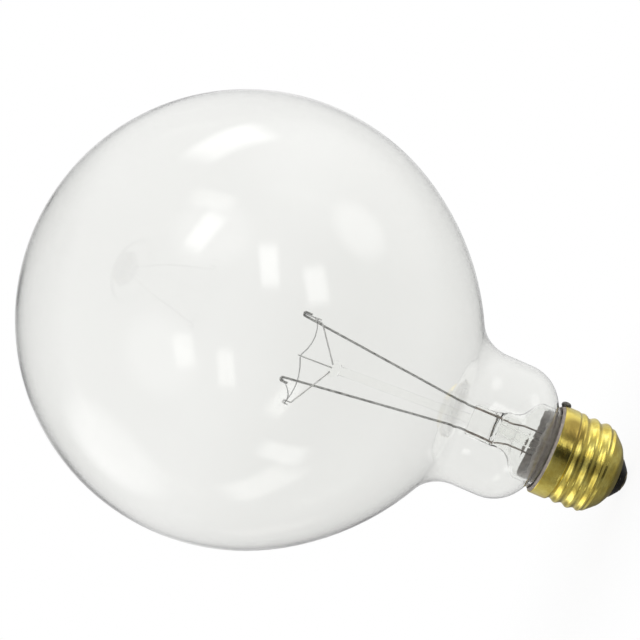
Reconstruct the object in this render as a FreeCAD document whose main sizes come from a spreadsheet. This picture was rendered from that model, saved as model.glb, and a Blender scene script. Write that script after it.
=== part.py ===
import FreeCAD, Part
import math
import os

import Sketcher

# Clear globe bulb with a screw cap. The origin is the lowest point of the
# centre contact, +Z is the bulb's axis with the globe on top, and -Y is the
# side that the filament faces. Lengths are in millimetres.

SIZES = {
    # glass envelope
    "globe_dia": 127.0,
    "glass_wall": 0.6,
    "blend_depth": 30.0,
    "blend_radius": 75.0,
    "throat_radius": 11.5,
    "neck_radius": 19.55,
    "neck_length": 7.56497,
    "shoulder_radius": 12.0,
    "seal_fillet": 2.0,
    "seal_stand": 0.5,
    "seal_gap": 0.95,
    "seal_rise": 1.2,
    # stem: flare, tube and press
    "flare_level": 30.6,
    "flare_rise": 3.4,
    "flare_bend": 3.0,
    "flare_fillet": 5.0,
    "stem_radius": 5.25,
    "stem_wall": 0.9,
    "stem_run": 0.35,
    "cavity_level": 38.9,
    "pinch_level": 42.4,
    "press_level": 47.4,
    "press_offset": -0.8,
    "press_half_width": 4.5,
    "press_half_depth": 1.6,
    "cavity_half_width": 4.0,
    "cavity_half_depth": 2.2,
    "pinch_half_width": 4.9,
    "pinch_half_depth": 3.1,
    "orifice_radius": 0.8,
    "orifice_slope": 48.0,
    # exhaust tube
    "exhaust_radius": 1.9,
    "exhaust_wall": 0.7,
    "exhaust_tip_level": 10.0,
    "exhaust_tip_length": 3.0,
    "exhaust_tip_radius": 0.7,
    # arbor rod and its button
    "arbor_radius": 1.3,
    "arbor_foot_radius": 1.55,
    "arbor_foot_height": 2.5,
    "button_lean": -2.0,
    "button_level": 87.5,
    "button_radius": 2.6,
    "button_half_height": 1.9,
    # lead wires, inside the bulb, through the press and below it
    "lead_spacing": 6.8,
    "lead_dia": 0.65,
    "seal_wire_dia": 0.6,
    "outer_lead_dia": 0.5,
    "lead_knee_level": 49.9,
    "lead_tip_a_out": 7.5,
    "lead_tip_a_level": 101.1,
    "lead_tip_b_out": 10.5,
    "lead_tip_b_level": 100.0,
    "clamp_width": 1.05,
    "clamp_length": 2.2,
    "clamp_bend": 0.42,
    "outer_lead_out": 3.3,
    "outer_lead_bend": 1.2,
    "shell_lead_knee_level": 35.4,
    "contact_lead_knee_level": 38.3,
    "outer_lead_shift": 3.5,
    "shell_lead_dip": 1.0,
    "shell_lead_under": 1.4,
    "shell_lead_over": 0.3,
    "shell_lead_reach": 0.55,
    "contact_lead_turn_level": 13.0,
    "contact_lead_axis_level": 5.6,
    "contact_lead_end_level": 0.55,
    # support wires and filament
    "support_dia": 0.4,
    "support_depth": 1.3,
    "hook_width": 0.9,
    "hook_rise": 0.6,
    "hook_length": 1.5,
    "hook_bend": 0.3,
    "hook_1_x": -3.0,
    "hook_1_y": -14.0,
    "hook_1_z": 98.9,
    "hook_2_x": 7.5,
    "hook_2_y": -9.0,
    "hook_2_z": 97.9,
    "hook_3_x": -16.0,
    "hook_3_y": -5.0,
    "hook_3_z": 96.9,
    "filament_dia": 0.35,
    "filament_sag": 1.4,
    "filament_tail": 0.7,
    "filament_cross": 0.45,
    "filament_bend": 0.35,
    "filament_sag_bend": 6.0,
    # screw cap shell
    "shell_wall": 0.3,
    "skirt_radius": 13.1,
    "rim_level": 24.0,
    "skirt_level": 19.8,
    "thread_low": 8.6,
    "crest_inset": 0.05,
    "thread_depth": 0.75,
    "thread_pitch": 3.63,
    "thread_fade": 1.5,
    "thread_phase": 10.0,
    "thread_step": 0.1,
    "end_corner_level": 8.35,
    "end_corner_bend": 0.5,
    "end_waist_inset": 3.25,
    "end_waist_level": 4.85,
    "end_waist_bend": 6.0,
    "end_lip_radius": 6.2,
    "end_lip_level": 3.3,
    # insulator, centre contact, solder and cement
    "insulator_clear": 0.05,
    "insulator_low": 0.95,
    "insulator_face_radius": 3.5,
    "insulator_side_level": 2.9,
    "insulator_edge": 0.8,
    "insulator_level": 5.4,
    "contact_radius": 3.0,
    "contact_thickness": 0.7,
    "contact_low": 0.5,
    "contact_bore": 0.9,
    "solder_flat_radius": 1.1,
    "solder_radius": 2.5,
    "solder_height": 1.5,
    "cement_drop": 0.6,
    "cement_corner": 0.45,
    "cement_bead": 0.7,
    "cement_clear": 0.08,
    "cement_level": 28.7,
    "cement_wall": 1.2,
    "blob_out": 1.1,
    "blob_half_width": 1.5,
    "blob_half_height": 1.2,
    "blob_lift": 0.1,
}

OUTPUT_FOLDER = "parts"
THREAD_ROUND = 24
THREAD_ROWS = 36


class Size:
    """A length from the sheet, or one worked out from it.

    It holds the number, which places a sketch's first geometry, and the
    expression, which then drives it.
    """

    def __init__(self, value, text):
        self.value = value
        self.text = text

    def __add__(self, other):
        return combine(self, "+", other, lambda one, two: one + two)

    def __sub__(self, other):
        return combine(self, "-", other, lambda one, two: one - two)

    def __mul__(self, other):
        return combine(self, "*", other, lambda one, two: one * two)

    def __truediv__(self, other):
        return combine(self, "/", other, lambda one, two: one / two)

    def __neg__(self):
        return Size(-self.value, f"(0 - {self.text})")

    def root(self):
        return Size(math.sqrt(self.value), f"sqrt({self.text})")


def combine(one, sign, two, work):
    """The result of one sum on two lengths, either of which may be a number."""
    one = as_size(one)
    two = as_size(two)
    return Size(work(one.value, two.value), f"({one.text} {sign} {two.text})")


def as_size(length):
    if isinstance(length, Size):
        return length
    return Size(float(length), repr(float(length)))


def size(name):
    return Size(SIZES[name], f"Sizes.{name}")


doc = FreeCAD.newDocument("GlobeBulb")

sheet = doc.addObject("Spreadsheet::Sheet", "Sizes")
for row, (alias, number) in enumerate(SIZES.items(), start=1):
    sheet.set(f"A{row}", alias)
    sheet.set(f"B{row}", str(number))
    sheet.setAlias(f"B{row}", alias)
doc.recompute()


class Chain:
    """A chain of lines and arcs in a sketch on one of a body's own planes."""

    def __init__(self, body, name, plane="XZ_Plane"):
        self.sketch = body.newObject("Sketcher::SketchObject", name)
        origin_plane = [item for item in body.Origin.OriginFeatures if item.Role == plane][0]
        self.sketch.AttachmentSupport = [(origin_plane, "")]
        self.sketch.MapMode = "FlatFace"

    def line(self, start, end):
        """Adds a line and returns its number with its first and last point."""
        geometry = Part.LineSegment(flat(start), flat(end))
        return self.sketch.addGeometry(geometry, False), 1, 2

    def arc(self, centre, start, end, clockwise):
        """Adds an arc and returns its number with its first and last point."""
        radius = math.dist(centre, start)
        from_angle = math.atan2(start[1] - centre[1], start[0] - centre[0])
        to_angle = math.atan2(end[1] - centre[1], end[0] - centre[0])
        circle = Part.Circle(flat(centre), FreeCAD.Vector(0, 0, 1), radius)
        if clockwise:
            geometry = Part.ArcOfCircle(circle, to_angle, from_angle)
            return self.sketch.addGeometry(geometry, False), 2, 1
        geometry = Part.ArcOfCircle(circle, from_angle, to_angle)
        return self.sketch.addGeometry(geometry, False), 1, 2

    def mark(self, place):
        """Adds a construction point, fixed at its place."""
        point = self.sketch.addGeometry(Part.Point(flat(numbers(place))), True)
        self.fix_point(point, 1, place)
        return point

    def rule(self, kind, *items):
        return self.sketch.addConstraint(Sketcher.Constraint(kind, *items))

    def drive(self, kind, items, length):
        """Adds a constraint whose value is an expression on the sheet."""
        index = self.rule(kind, *items, length.value)
        self.sketch.setExpression(f"Constraints[{index}]", length.text)

    def fix_x(self, item, point, length):
        length = as_size(length)
        if length.text == "0.0":
            self.rule("PointOnObject", item, point, -2)
        else:
            self.drive("DistanceX", (-1, 1, item, point), length)

    def fix_z(self, item, point, length):
        length = as_size(length)
        if length.text == "0.0":
            self.rule("PointOnObject", item, point, -1)
        else:
            self.drive("DistanceY", (-1, 1, item, point), length)

    def fix_point(self, item, point, place):
        self.fix_x(item, point, place[0])
        self.fix_z(item, point, place[1])

    def join(self, one, two, smooth):
        """Joins the end of one edge to the start of the next."""
        kind = "Tangent" if smooth else "Coincident"
        self.rule(kind, one[0], one[2], two[0], two[1])

    def set_radius(self, edge, length):
        self.drive("Radius", (edge[0],), as_size(length))


def flat(place):
    return FreeCAD.Vector(place[0], place[1], 0)


def numbers(place):
    return as_size(place[0]).value, as_size(place[1]).value


def towards(start, end, distance):
    """The point that lies at a distance from the start, towards the end."""
    length = math.dist(start, end)
    share = distance / length
    return tuple(first + (last - first) * share for first, last in zip(start, end))


def corner_arc(before, corner, after, radius):
    """Where an arc that rounds a corner starts, its centre, and where it ends."""
    one = towards(corner, before, 1.0)
    two = towards(corner, after, 1.0)
    middle = tuple((first + last) / 2 - at for first, last, at in zip(one, two, corner))
    half = math.asin(min(1.0, math.dist(one, two) / 2))
    cut = radius / math.tan(half)
    reach = radius / math.sin(half) / math.hypot(*middle)
    centre = tuple(at + step * reach for at, step in zip(corner, middle))
    return towards(corner, before, cut), centre, towards(corner, after, cut)


def rounded_chain(body, name, corners, closed):
    """Draws straight runs between corners, each corner sharp or rounded.

    A corner is its x, its z and, where it is rounded, the radius.
    """
    chain = Chain(body, name)
    count = len(corners)
    spots = [numbers(corner) for corner in corners]
    leave = list(spots)
    arrive = list(spots)
    centres = [None] * count
    for index, corner in enumerate(corners):
        if len(corner) == 3:
            before = spots[index - 1]
            after = spots[(index + 1) % count]
            radius = as_size(corner[2]).value
            arrive[index], centres[index], leave[index] = corner_arc(before, spots[index], after, radius)

    runs = count if closed else count - 1
    lines = []
    for index in range(runs):
        lines.append(chain.line(leave[index], arrive[(index + 1) % count]))

    for index, corner in enumerate(corners):
        first = not closed and index == 0
        last = not closed and index == count - 1
        if first:
            chain.fix_point(lines[0][0], 1, corner)
            continue
        coming = lines[index - 1]
        if last:
            chain.fix_point(coming[0], 2, corner)
            continue
        going = lines[index]
        if len(corner) == 2:
            chain.join(coming, going, False)
            chain.fix_point(coming[0], 2, corner)
            continue
        turn = cross(spots[index - 1], spots[index], spots[(index + 1) % count])
        bend = chain.arc(centres[index], arrive[index], leave[index], turn < 0)
        point = chain.mark(corner)
        chain.rule("PointOnObject", point, 1, coming[0])
        chain.rule("PointOnObject", point, 1, going[0])
        chain.join(coming, bend, True)
        chain.join(bend, going, True)
        chain.set_radius(bend, corner[2])
    return chain.sketch


def cross(before, corner, after):
    """Positive where the way through the corner turns to the left."""
    one = (corner[0] - before[0], corner[1] - before[1])
    two = (after[0] - corner[0], after[1] - corner[1])
    return one[0] * two[1] - one[1] * two[0]


def new_body(label):
    body = doc.addObject("PartDesign::Body", label)
    body.Label = label
    return body


def revolve(body, sketch, kind="PartDesign::Revolution"):
    feature = body.newObject(kind, f"{sketch.Name}_turned")
    feature.Profile = sketch
    feature.ReferenceAxis = (sketch, ["V_Axis"])
    feature.Angle = 360.0
    sketch.Visibility = False
    return feature


def turned_body(label, corners):
    """A body turned from one closed profile."""
    body = new_body(label)
    sketch = rounded_chain(body, f"{label}_profile", corners, True)
    revolve(body, sketch)
    return body


def bent_wire(label, corners, diameter):
    """A round wire in the XZ plane, with a bend at each inner corner."""
    body = new_body(label)
    path = rounded_chain(body, f"{label}_path", corners, False)
    section = body.newObject("Sketcher::SketchObject", f"{label}_section")
    plane = [item for item in body.Origin.OriginFeatures if item.Role == "XY_Plane"][0]
    section.AttachmentSupport = [(plane, "")]
    section.MapMode = "FlatFace"
    section.setExpression("AttachmentOffset.Base.z", as_size(corners[0][1]).text)
    start = FreeCAD.Vector(as_size(corners[0][0]).value, 0, 0)
    circle = Part.Circle(start, FreeCAD.Vector(0, 0, 1), diameter.value / 2)
    section.addGeometry(circle, False)
    section.addConstraint(Sketcher.Constraint("PointOnObject", 0, 3, -1))
    across = section.addConstraint(Sketcher.Constraint("DistanceX", -1, 1, 0, 3, start.x))
    section.setExpression(f"Constraints[{across}]", as_size(corners[0][0]).text)
    wide = section.addConstraint(Sketcher.Constraint("Diameter", 0, diameter.value))
    section.setExpression(f"Constraints[{wide}]", diameter.text)
    pipe = body.newObject("PartDesign::AdditivePipe", f"{label}_wire")
    pipe.Profile = section
    pipe.Spine = path
    pipe.Mode = "Frenet"
    path.Visibility = False
    section.Visibility = False
    return body


def primitive(kind, name, place=None, **lengths):
    """A solid or curve primitive whose sizes and place follow the sheet."""
    item = doc.addObject(kind, name)
    for prop, length in lengths.items():
        item.setExpression(prop, as_size(length).text)
    for axis, length in zip("xyz", place or ()):
        item.setExpression(f"Placement.Base.{axis}", as_size(length).text)
    return item


def loft(name, sections, ruled):
    item = doc.addObject("Part::Loft", name)
    item.Sections = sections
    item.Solid = True
    item.Ruled = ruled
    return item


def fuse(name, pieces):
    item = doc.addObject("Part::MultiFuse", name)
    item.Shapes = pieces
    item.Refine = True
    return item


def cut(name, base, tool):
    item = doc.addObject("Part::Cut", name)
    item.Base = base
    item.Tool = tool
    item.Refine = False
    return item


def loose_feature(name, shape):
    item = doc.addObject("Part::Feature", name)
    item.Shape = shape
    return item


# Sizes that follow the cap, which the neck and the thread are fitted to.

skirt_inner = size("skirt_radius") - size("shell_wall")
seal_radius = skirt_inner - size("seal_gap")
crest_radius = size("skirt_radius") - size("crest_inset")
root_radius = crest_radius - size("thread_depth")
end_top_radius = root_radius - size("thread_step")
end_waist_radius = root_radius - size("end_waist_inset")
seal_level = size("skirt_level") + size("seal_rise")


# Glass envelope: a sphere that passes through a flatter arc and a hollow
# throat into the neck, then over a round shoulder into the seal.

def shoulder_middle():
    """The level of the shoulder's centre, over the fillet at the cap's rim."""
    across = seal_radius + size("seal_fillet") - (size("neck_radius") - size("shoulder_radius"))
    reach = size("shoulder_radius") + size("seal_fillet")
    return size("rim_level") + size("seal_stand") + (reach * reach - across * across).root()


def globe_middle():
    """The level of the globe's centre, over the neck and the throat."""
    globe = size("globe_dia") / 2
    drop = size("blend_depth")
    less = as_size(1.0) - size("blend_radius") / globe
    across = size("neck_radius") + size("throat_radius") - (globe * globe - drop * drop).root() * less
    reach = size("blend_radius") + size("throat_radius")
    height = (reach * reach - across * across).root()
    return shoulder_middle() + size("neck_length") + height + drop * less


def envelope_profile(body, name, inset, low):
    """The envelope's half profile, closed on the axis and moved in by the inset."""
    middle = globe_middle()
    globe = size("globe_dia") / 2 - inset
    blend = size("blend_radius") - inset
    throat = size("throat_radius") + inset
    neck = size("neck_radius") - inset
    shoulder = size("shoulder_radius") - inset
    fillet = size("seal_fillet") + inset
    seal = seal_radius - inset
    drop = size("blend_depth") * globe / (size("globe_dia") / 2)
    level = shoulder_middle()

    # centres and joints of the arcs, worked out for the first geometry
    top = (0.0, middle.value + globe.value)
    centre = (0.0, middle.value)
    side = math.sqrt(globe.value ** 2 - drop.value ** 2)
    joint_1 = (side, middle.value - drop.value)
    centre_2 = towards(joint_1, centre, blend.value)
    centre_3_x = neck.value + throat.value
    height_3 = math.sqrt((blend.value + throat.value) ** 2 - (centre_3_x - centre_2[0]) ** 2)
    centre_3 = (centre_3_x, centre_2[1] - height_3)
    joint_2 = towards(centre_2, centre_3, blend.value)
    joint_3 = (neck.value, centre_3[1])
    joint_4 = (neck.value, level.value)
    centre_5 = (neck.value - shoulder.value, level.value)
    centre_6_x = seal.value + fillet.value
    height_6 = math.sqrt((shoulder.value + fillet.value) ** 2 - (centre_6_x - centre_5[0]) ** 2)
    centre_6 = (centre_6_x, centre_5[1] - height_6)
    joint_5 = towards(centre_5, centre_6, shoulder.value)
    joint_6 = (seal.value, centre_6[1])
    bottom = (seal.value, low.value)
    foot = (0.0, low.value)

    chain = Chain(body, name)
    globe_arc = chain.arc(centre, top, joint_1, True)
    blend_arc = chain.arc(centre_2, joint_1, joint_2, True)
    throat_arc = chain.arc(centre_3, joint_2, joint_3, False)
    neck_line = chain.line(joint_3, joint_4)
    shoulder_arc = chain.arc(centre_5, joint_4, joint_5, True)
    fillet_arc = chain.arc(centre_6, joint_5, joint_6, False)
    seal_line = chain.line(joint_6, bottom)
    base_line = chain.line(bottom, foot)
    axis_line = chain.line(foot, top)

    for one, two in (
        (globe_arc, blend_arc),
        (blend_arc, throat_arc),
        (throat_arc, neck_line),
        (neck_line, shoulder_arc),
        (shoulder_arc, fillet_arc),
        (fillet_arc, seal_line),
    ):
        chain.join(one, two, True)
    for one, two in ((seal_line, base_line), (base_line, axis_line), (axis_line, globe_arc)):
        chain.join(one, two, False)

    chain.fix_point(globe_arc[0], 3, (0.0, middle))
    chain.set_radius(globe_arc, globe)
    chain.fix_x(axis_line[0], 2, 0.0)
    chain.fix_z(blend_arc[0], blend_arc[1], middle - drop)
    chain.set_radius(blend_arc, blend)
    chain.set_radius(throat_arc, throat)
    chain.rule("Vertical", neck_line[0])
    chain.fix_point(neck_line[0], 2, (neck, level))
    chain.set_radius(shoulder_arc, shoulder)
    chain.set_radius(fillet_arc, fillet)
    chain.rule("Vertical", seal_line[0])
    chain.fix_point(seal_line[0], 2, (seal, low))
    chain.fix_point(base_line[0], 2, (0.0, low))
    return chain.sketch


glass_envelope = new_body("glass_envelope")
outer = envelope_profile(glass_envelope, "envelope_outside", as_size(0.0), seal_level)
revolve(glass_envelope, outer)
inner = envelope_profile(glass_envelope, "envelope_inside", size("glass_wall"), seal_level - 1.0)
revolve(glass_envelope, inner, "PartDesign::Groove")


# Stem: a flare sealed into the neck, a tube, and the flattened press that
# the wires pass through. The exhaust tube opens through the orifice.

flare_radius = seal_radius - size("glass_wall")
flare_inner = flare_radius - size("stem_wall")
stem_inner = size("stem_radius") - size("stem_wall")
flare_slope = size("flare_rise") / (flare_radius - size("stem_radius"))
flare_turn = (flare_slope * flare_slope + 1.0).root() - flare_slope
flare_drop = size("stem_wall") * flare_turn
flare_top = size("flare_level") + size("flare_rise")
stem_level = flare_top + size("flare_fillet") * flare_turn + size("stem_run")

stem_tube = turned_body("stem_tube", [
    (flare_radius, seal_level),
    (flare_radius, size("flare_level"), size("flare_bend")),
    (size("stem_radius"), flare_top, size("flare_fillet")),
    (size("stem_radius"), stem_level),
    (stem_inner, stem_level),
    (stem_inner, flare_top - flare_drop, size("flare_fillet") + size("stem_wall")),
    (flare_inner, size("flare_level") - flare_drop, size("flare_bend") - size("stem_wall")),
    (flare_inner, seal_level),
])


def oval(name, half_width, half_depth, level, offset):
    """A level oval, a circle where its halves are equal."""
    return primitive("Part::Ellipse", name, (offset, 0.0, level),
                     MajorRadius=half_width, MinorRadius=half_depth)


press_offset = size("press_offset")
press_outside = loft("press_outside", [
    oval("press_foot", size("stem_radius"), size("stem_radius"), stem_level, 0.0),
    oval("press_waist", size("pinch_half_width"), size("pinch_half_depth"), size("cavity_level"),
         press_offset * 0.6),
    oval("press_pinch", size("press_half_width"), size("press_half_depth"), size("pinch_level"),
         press_offset),
    oval("press_top", size("press_half_width"), size("press_half_depth"), size("press_level"),
         press_offset),
], True)
press_inside = loft("press_inside", [
    oval("cavity_foot", stem_inner, stem_inner, stem_level, 0.0),
    oval("cavity_top", size("cavity_half_width"), size("cavity_half_depth"), size("cavity_level"),
         press_offset),
], True)

orifice = primitive("Part::Cylinder", "orifice", (press_offset * 0.5, 0.0, size("cavity_level") - 0.4),
                    Radius=size("orifice_radius"), Height=size("pinch_half_depth") * 3.0)
orifice.setExpression("Placement.Rotation.Angle", size("orifice_slope").text)
orifice.Placement.Rotation.Axis = FreeCAD.Vector(1, 0, 0)

lead_a_x = press_offset + size("lead_spacing") / 2
lead_b_x = press_offset - size("lead_spacing") / 2


def seal_wire(name, across):
    return primitive("Part::Cylinder", name, (across, 0.0, size("cavity_level")),
                     Radius=size("seal_wire_dia") / 2,
                     Height=size("press_level") - size("cavity_level"))


dumet_seal_a = seal_wire("dumet_seal_a", lead_a_x)
dumet_seal_b = seal_wire("dumet_seal_b", lead_b_x)

stem_blank = fuse("stem_blank", [stem_tube, press_outside])
stem_voids = fuse("stem_voids", [press_inside, orifice, dumet_seal_a, dumet_seal_b])
stem_flare = cut("stem_flare", stem_blank, stem_voids)

exhaust_inner = size("exhaust_radius") - size("exhaust_wall")
exhaust_tube = turned_body("exhaust_tube", [
    (exhaust_inner, size("cavity_level")),
    (exhaust_inner, size("exhaust_tip_level") + size("exhaust_tip_length")),
    (0.0, size("exhaust_tip_level") + size("exhaust_wall")),
    (0.0, size("exhaust_tip_level")),
    (size("exhaust_tip_radius"), size("exhaust_tip_level")),
    (size("exhaust_radius"), size("exhaust_tip_level") + size("exhaust_tip_length")),
    (size("exhaust_radius"), size("cavity_level")),
])


# Lead wires. Inside the bulb each rises from the press and is folded over
# the filament's end; below it one goes to the shell and one to the contact.

def inner_lead(label, across, tip_x, tip_level, side):
    clamp_out = tip_x + size("clamp_width") * side
    return bent_wire(label, [
        (across, size("press_level")),
        (across, size("lead_knee_level"), 8.0),
        (tip_x, tip_level, size("clamp_bend")),
        (clamp_out, tip_level, size("clamp_bend")),
        (clamp_out, tip_level - size("clamp_length")),
    ], size("lead_dia"))


tip_a_x = size("lead_tip_a_out")
tip_b_x = -size("lead_tip_b_out")
inner_lead_a = inner_lead("inner_lead_a", lead_a_x, tip_a_x, size("lead_tip_a_level"), 1.0)
inner_lead_b = inner_lead("inner_lead_b", lead_b_x, tip_b_x, size("lead_tip_b_level"), -1.0)

lead_gap_x = (seal_radius + skirt_inner) / 2
outer_lead_bend = size("outer_lead_bend")
over_rim = size("rim_level") + size("shell_lead_over") + size("outer_lead_dia") / 2
outer_lead_shell = bent_wire("outer_lead_shell", [
    (lead_a_x, size("cavity_level")),
    (lead_a_x, size("shell_lead_knee_level"), outer_lead_bend),
    (size("outer_lead_out"), size("shell_lead_knee_level") - size("outer_lead_shift"), outer_lead_bend),
    (size("outer_lead_out"), seal_level + size("shell_lead_dip"), outer_lead_bend),
    (lead_gap_x, seal_level - size("shell_lead_under"), outer_lead_bend / 2),
    (lead_gap_x, over_rim, size("outer_lead_dia")),
    (size("skirt_radius") + size("shell_lead_reach"), over_rim),
], size("outer_lead_dia"))
outer_lead_contact = bent_wire("outer_lead_contact", [
    (lead_b_x, size("cavity_level")),
    (lead_b_x, size("contact_lead_knee_level"), outer_lead_bend),
    (-size("outer_lead_out"), size("contact_lead_knee_level") - size("outer_lead_shift"), outer_lead_bend),
    (-size("outer_lead_out"), size("contact_lead_turn_level"), outer_lead_bend),
    (0.0, size("contact_lead_axis_level"), outer_lead_bend),
    (0.0, size("contact_lead_end_level")),
], size("outer_lead_dia"))


# Arbor rod with its button, the support wires set in the button, and the
# filament that runs from one clamp over the three hooks to the other.

button_x = press_offset + size("button_lean")


def disc(name, radius, level, across):
    return primitive("Part::Circle", name, (across, 0.0, level), Radius=radius)


foot_share = size("arbor_foot_height") / (size("button_level") - size("press_level"))
arbor_shaft = loft("arbor_shaft", [
    disc("arbor_foot", size("arbor_foot_radius"), size("press_level"), press_offset),
    disc("arbor_ankle", size("arbor_radius"), size("press_level") + size("arbor_foot_height"),
         press_offset + size("button_lean") * foot_share),
    disc("arbor_top", size("arbor_radius"), size("button_level"), button_x),
], True)
button = primitive("Part::Ellipsoid", "button", (button_x, 0.0, size("button_level")),
                   Radius1=size("button_half_height"), Radius2=size("button_radius"),
                   Radius3=size("button_radius"))
arbor_blank = fuse("arbor_blank", [arbor_shaft, button])


def space_wire(points, bends, diameter):
    """A round wire along straight runs in space, joined by tangent arcs."""
    edges = []
    start = points[0]
    for index in range(1, len(points) - 1):
        spot = points[index]
        before = points[index - 1]
        after = points[index + 1]
        come, centre, leave = corner_arc(before, spot, after, bends[index - 1])
        radius = math.dist(centre, come)
        midway = towards(centre, spot, radius)
        edges.append(Part.LineSegment(FreeCAD.Vector(*start), FreeCAD.Vector(*come)).toShape())
        bend = Part.Arc(FreeCAD.Vector(*come), FreeCAD.Vector(*midway), FreeCAD.Vector(*leave))
        edges.append(bend.toShape())
        start = leave
    edges.append(Part.LineSegment(FreeCAD.Vector(*start), FreeCAD.Vector(*points[-1])).toShape())
    path = Part.Wire(edges)
    first = FreeCAD.Vector(*points[0])
    along = FreeCAD.Vector(*points[1]) - first
    section = Part.Wire(Part.makeCircle(diameter / 2, first, along))
    return path.makePipeShell([section], True, False)


def number(name):
    """A size as the sheet gives it."""
    return float(sheet.get(name))


BUTTON_CENTRE = (button_x.value, 0.0, number("button_level"))
HOOKS = [tuple(number(f"hook_{index}_{axis}") for axis in "xyz") for index in (1, 2, 3)]


def hook_seat(hook):
    """Where the filament passes through a hook: midway across its bend."""
    out_x, out_y = outward(hook)
    half = number("hook_width") / 2
    return hook[0] + out_x * half, hook[1] + out_y * half, hook[2]


def outward(hook):
    """The level direction from the button to a hook."""
    step_x = hook[0] - BUTTON_CENTRE[0]
    step_y = hook[1] - BUTTON_CENTRE[1]
    length = math.hypot(step_x, step_y)
    return step_x / length, step_y / length


def support_wire(index, hook):
    """A wire from the button, bent into a hook that the filament hangs in."""
    out_x, out_y = outward(hook)
    top = hook[2] + number("hook_rise")
    width = number("hook_width")
    far = (hook[0] + out_x * width, hook[1] + out_y * width)
    elbow = (hook[0], hook[1], hook[2] - number("hook_length"))
    points = [
        towards(BUTTON_CENTRE, elbow, number("support_depth")),
        elbow,
        (hook[0], hook[1], top),
        (far[0], far[1], top),
        (far[0], far[1], top - number("hook_length")),
    ]
    bends = [number("hook_bend") * 2, number("hook_bend"), number("hook_bend")]
    return loose_feature(f"support_wire_{index}", space_wire(points, bends, number("support_dia")))


support_wires = [support_wire(index, hook) for index, hook in enumerate(HOOKS, start=1)]
support_bundle = fuse("support_bundle", support_wires)
arbor_rod = cut("arbor_rod", arbor_blank, support_bundle)


def clamp_seat(tip_x, tip_level, side):
    """Where the filament's end lies in the fold of a lead's tip."""
    drop = number("lead_dia") / 2 + number("filament_dia") / 2 + 0.05
    return tip_x.value + side * number("clamp_width") / 2, 0.0, number(tip_level) - drop


def filament_path():
    """The filament's corners and bends, from one clamp over the hooks to the other."""
    tail = number("filament_tail")
    cross_half = number("filament_cross")
    seat_a = clamp_seat(tip_a_x, "lead_tip_a_level", 1.0)
    seat_b = clamp_seat(tip_b_x, "lead_tip_b_level", -1.0)
    start = (seat_a[0], seat_a[1] + tail, seat_a[2])
    end = (seat_b[0], seat_b[1] + tail, seat_b[2])
    knee_a = (seat_a[0], seat_a[1] - tail, seat_a[2])
    knee_b = (seat_b[0], seat_b[1] - tail, seat_b[2])
    crossings = [(start, knee_a)]
    for hook in (HOOKS[1], HOOKS[0], HOOKS[2]):
        seat = hook_seat(hook)
        out_x, out_y = outward(hook)
        before = (seat[0] - out_y * cross_half, seat[1] + out_x * cross_half, seat[2])
        after = (seat[0] + out_y * cross_half, seat[1] - out_x * cross_half, seat[2])
        crossings.append((before, after))
    crossings.append((knee_b, end))
    points = [start]
    bends = []
    for (_, before), (after, _) in zip(crossings, crossings[1:]):
        middle = tuple((one + two) / 2 for one, two in zip(before, after))
        sagging = (middle[0], middle[1], middle[2] - number("filament_sag"))
        points += [before, sagging, after]
        bends += [number("filament_bend"), number("filament_sag_bend"), number("filament_bend")]
    points.append(end)
    return points, bends


route, route_bends = filament_path()
filament = loose_feature("filament", space_wire(route, route_bends, number("filament_dia")))


# Screw cap. The shell is one thin sheet: a plain skirt, the rolled thread
# that runs out into it, and the dished end that holds the insulator.

def thread_surface(inset):
    """The thread's wavy wall, moved in by the inset."""
    low = number("thread_low")
    high = number("skirt_level")
    crest = crest_radius.value
    root = root_radius.value
    pitch = number("thread_pitch")
    fade = number("thread_fade")
    phase = math.radians(number("thread_phase"))
    top_radius = number("skirt_radius") - number("thread_step")
    mean = (crest + root) / 2
    swing = (crest - root) / 2
    rows = []
    for step in range(THREAD_ROWS + 1):
        level = low + (high - low) * step / THREAD_ROWS
        upper = ease((high - level) / fade)
        lower = ease((level - low) / fade)
        row = []
        for turn in range(THREAD_ROUND + 1):
            angle = 2 * math.pi * (turn % THREAD_ROUND) / THREAD_ROUND
            wave = mean + swing * math.cos(2 * math.pi * level / pitch - angle + phase)
            radius = root + (wave - root) * lower
            radius = top_radius + (radius - top_radius) * upper - inset
            row.append(FreeCAD.Vector(radius * math.cos(angle), radius * math.sin(angle), level))
        rows.append(row)
    surface = Part.BSplineSurface()
    surface.interpolate(rows)
    return surface


def ease(share):
    """A smooth rise from 0 to 1."""
    share = min(1.0, max(0.0, share))
    return share * share * (3 - 2 * share)


def end_rings(face):
    """The level closed edges that bound a wall, the lowest first."""
    rings = [edge for edge in face.Edges if edge.BoundBox.ZLength < 0.001]
    return sorted(rings, key=lambda edge: edge.BoundBox.ZMin)


def thread_wall():
    outside = thread_surface(0.0).toShape()
    inside = thread_surface(number("shell_wall")).toShape()
    faces = [outside, inside]
    for ring, hole in zip(end_rings(outside), end_rings(inside)):
        faces.append(Part.makeFace([Part.Wire(ring), Part.Wire(hole)], "Part::FaceMakerBullseye"))
    shell = Part.makeShell(faces)
    shell.sewShape()
    solid = Part.makeSolid(shell)
    if solid.Volume < 0:
        solid.reverse()
    return solid


cap_thread = loose_feature("cap_thread", thread_wall())

cap_skirt = turned_body("cap_skirt", [
    (skirt_inner, size("skirt_level")),
    (size("skirt_radius"), size("skirt_level")),
    (size("skirt_radius"), size("rim_level")),
    (skirt_inner, size("rim_level")),
])

wall = size("shell_wall")


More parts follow.
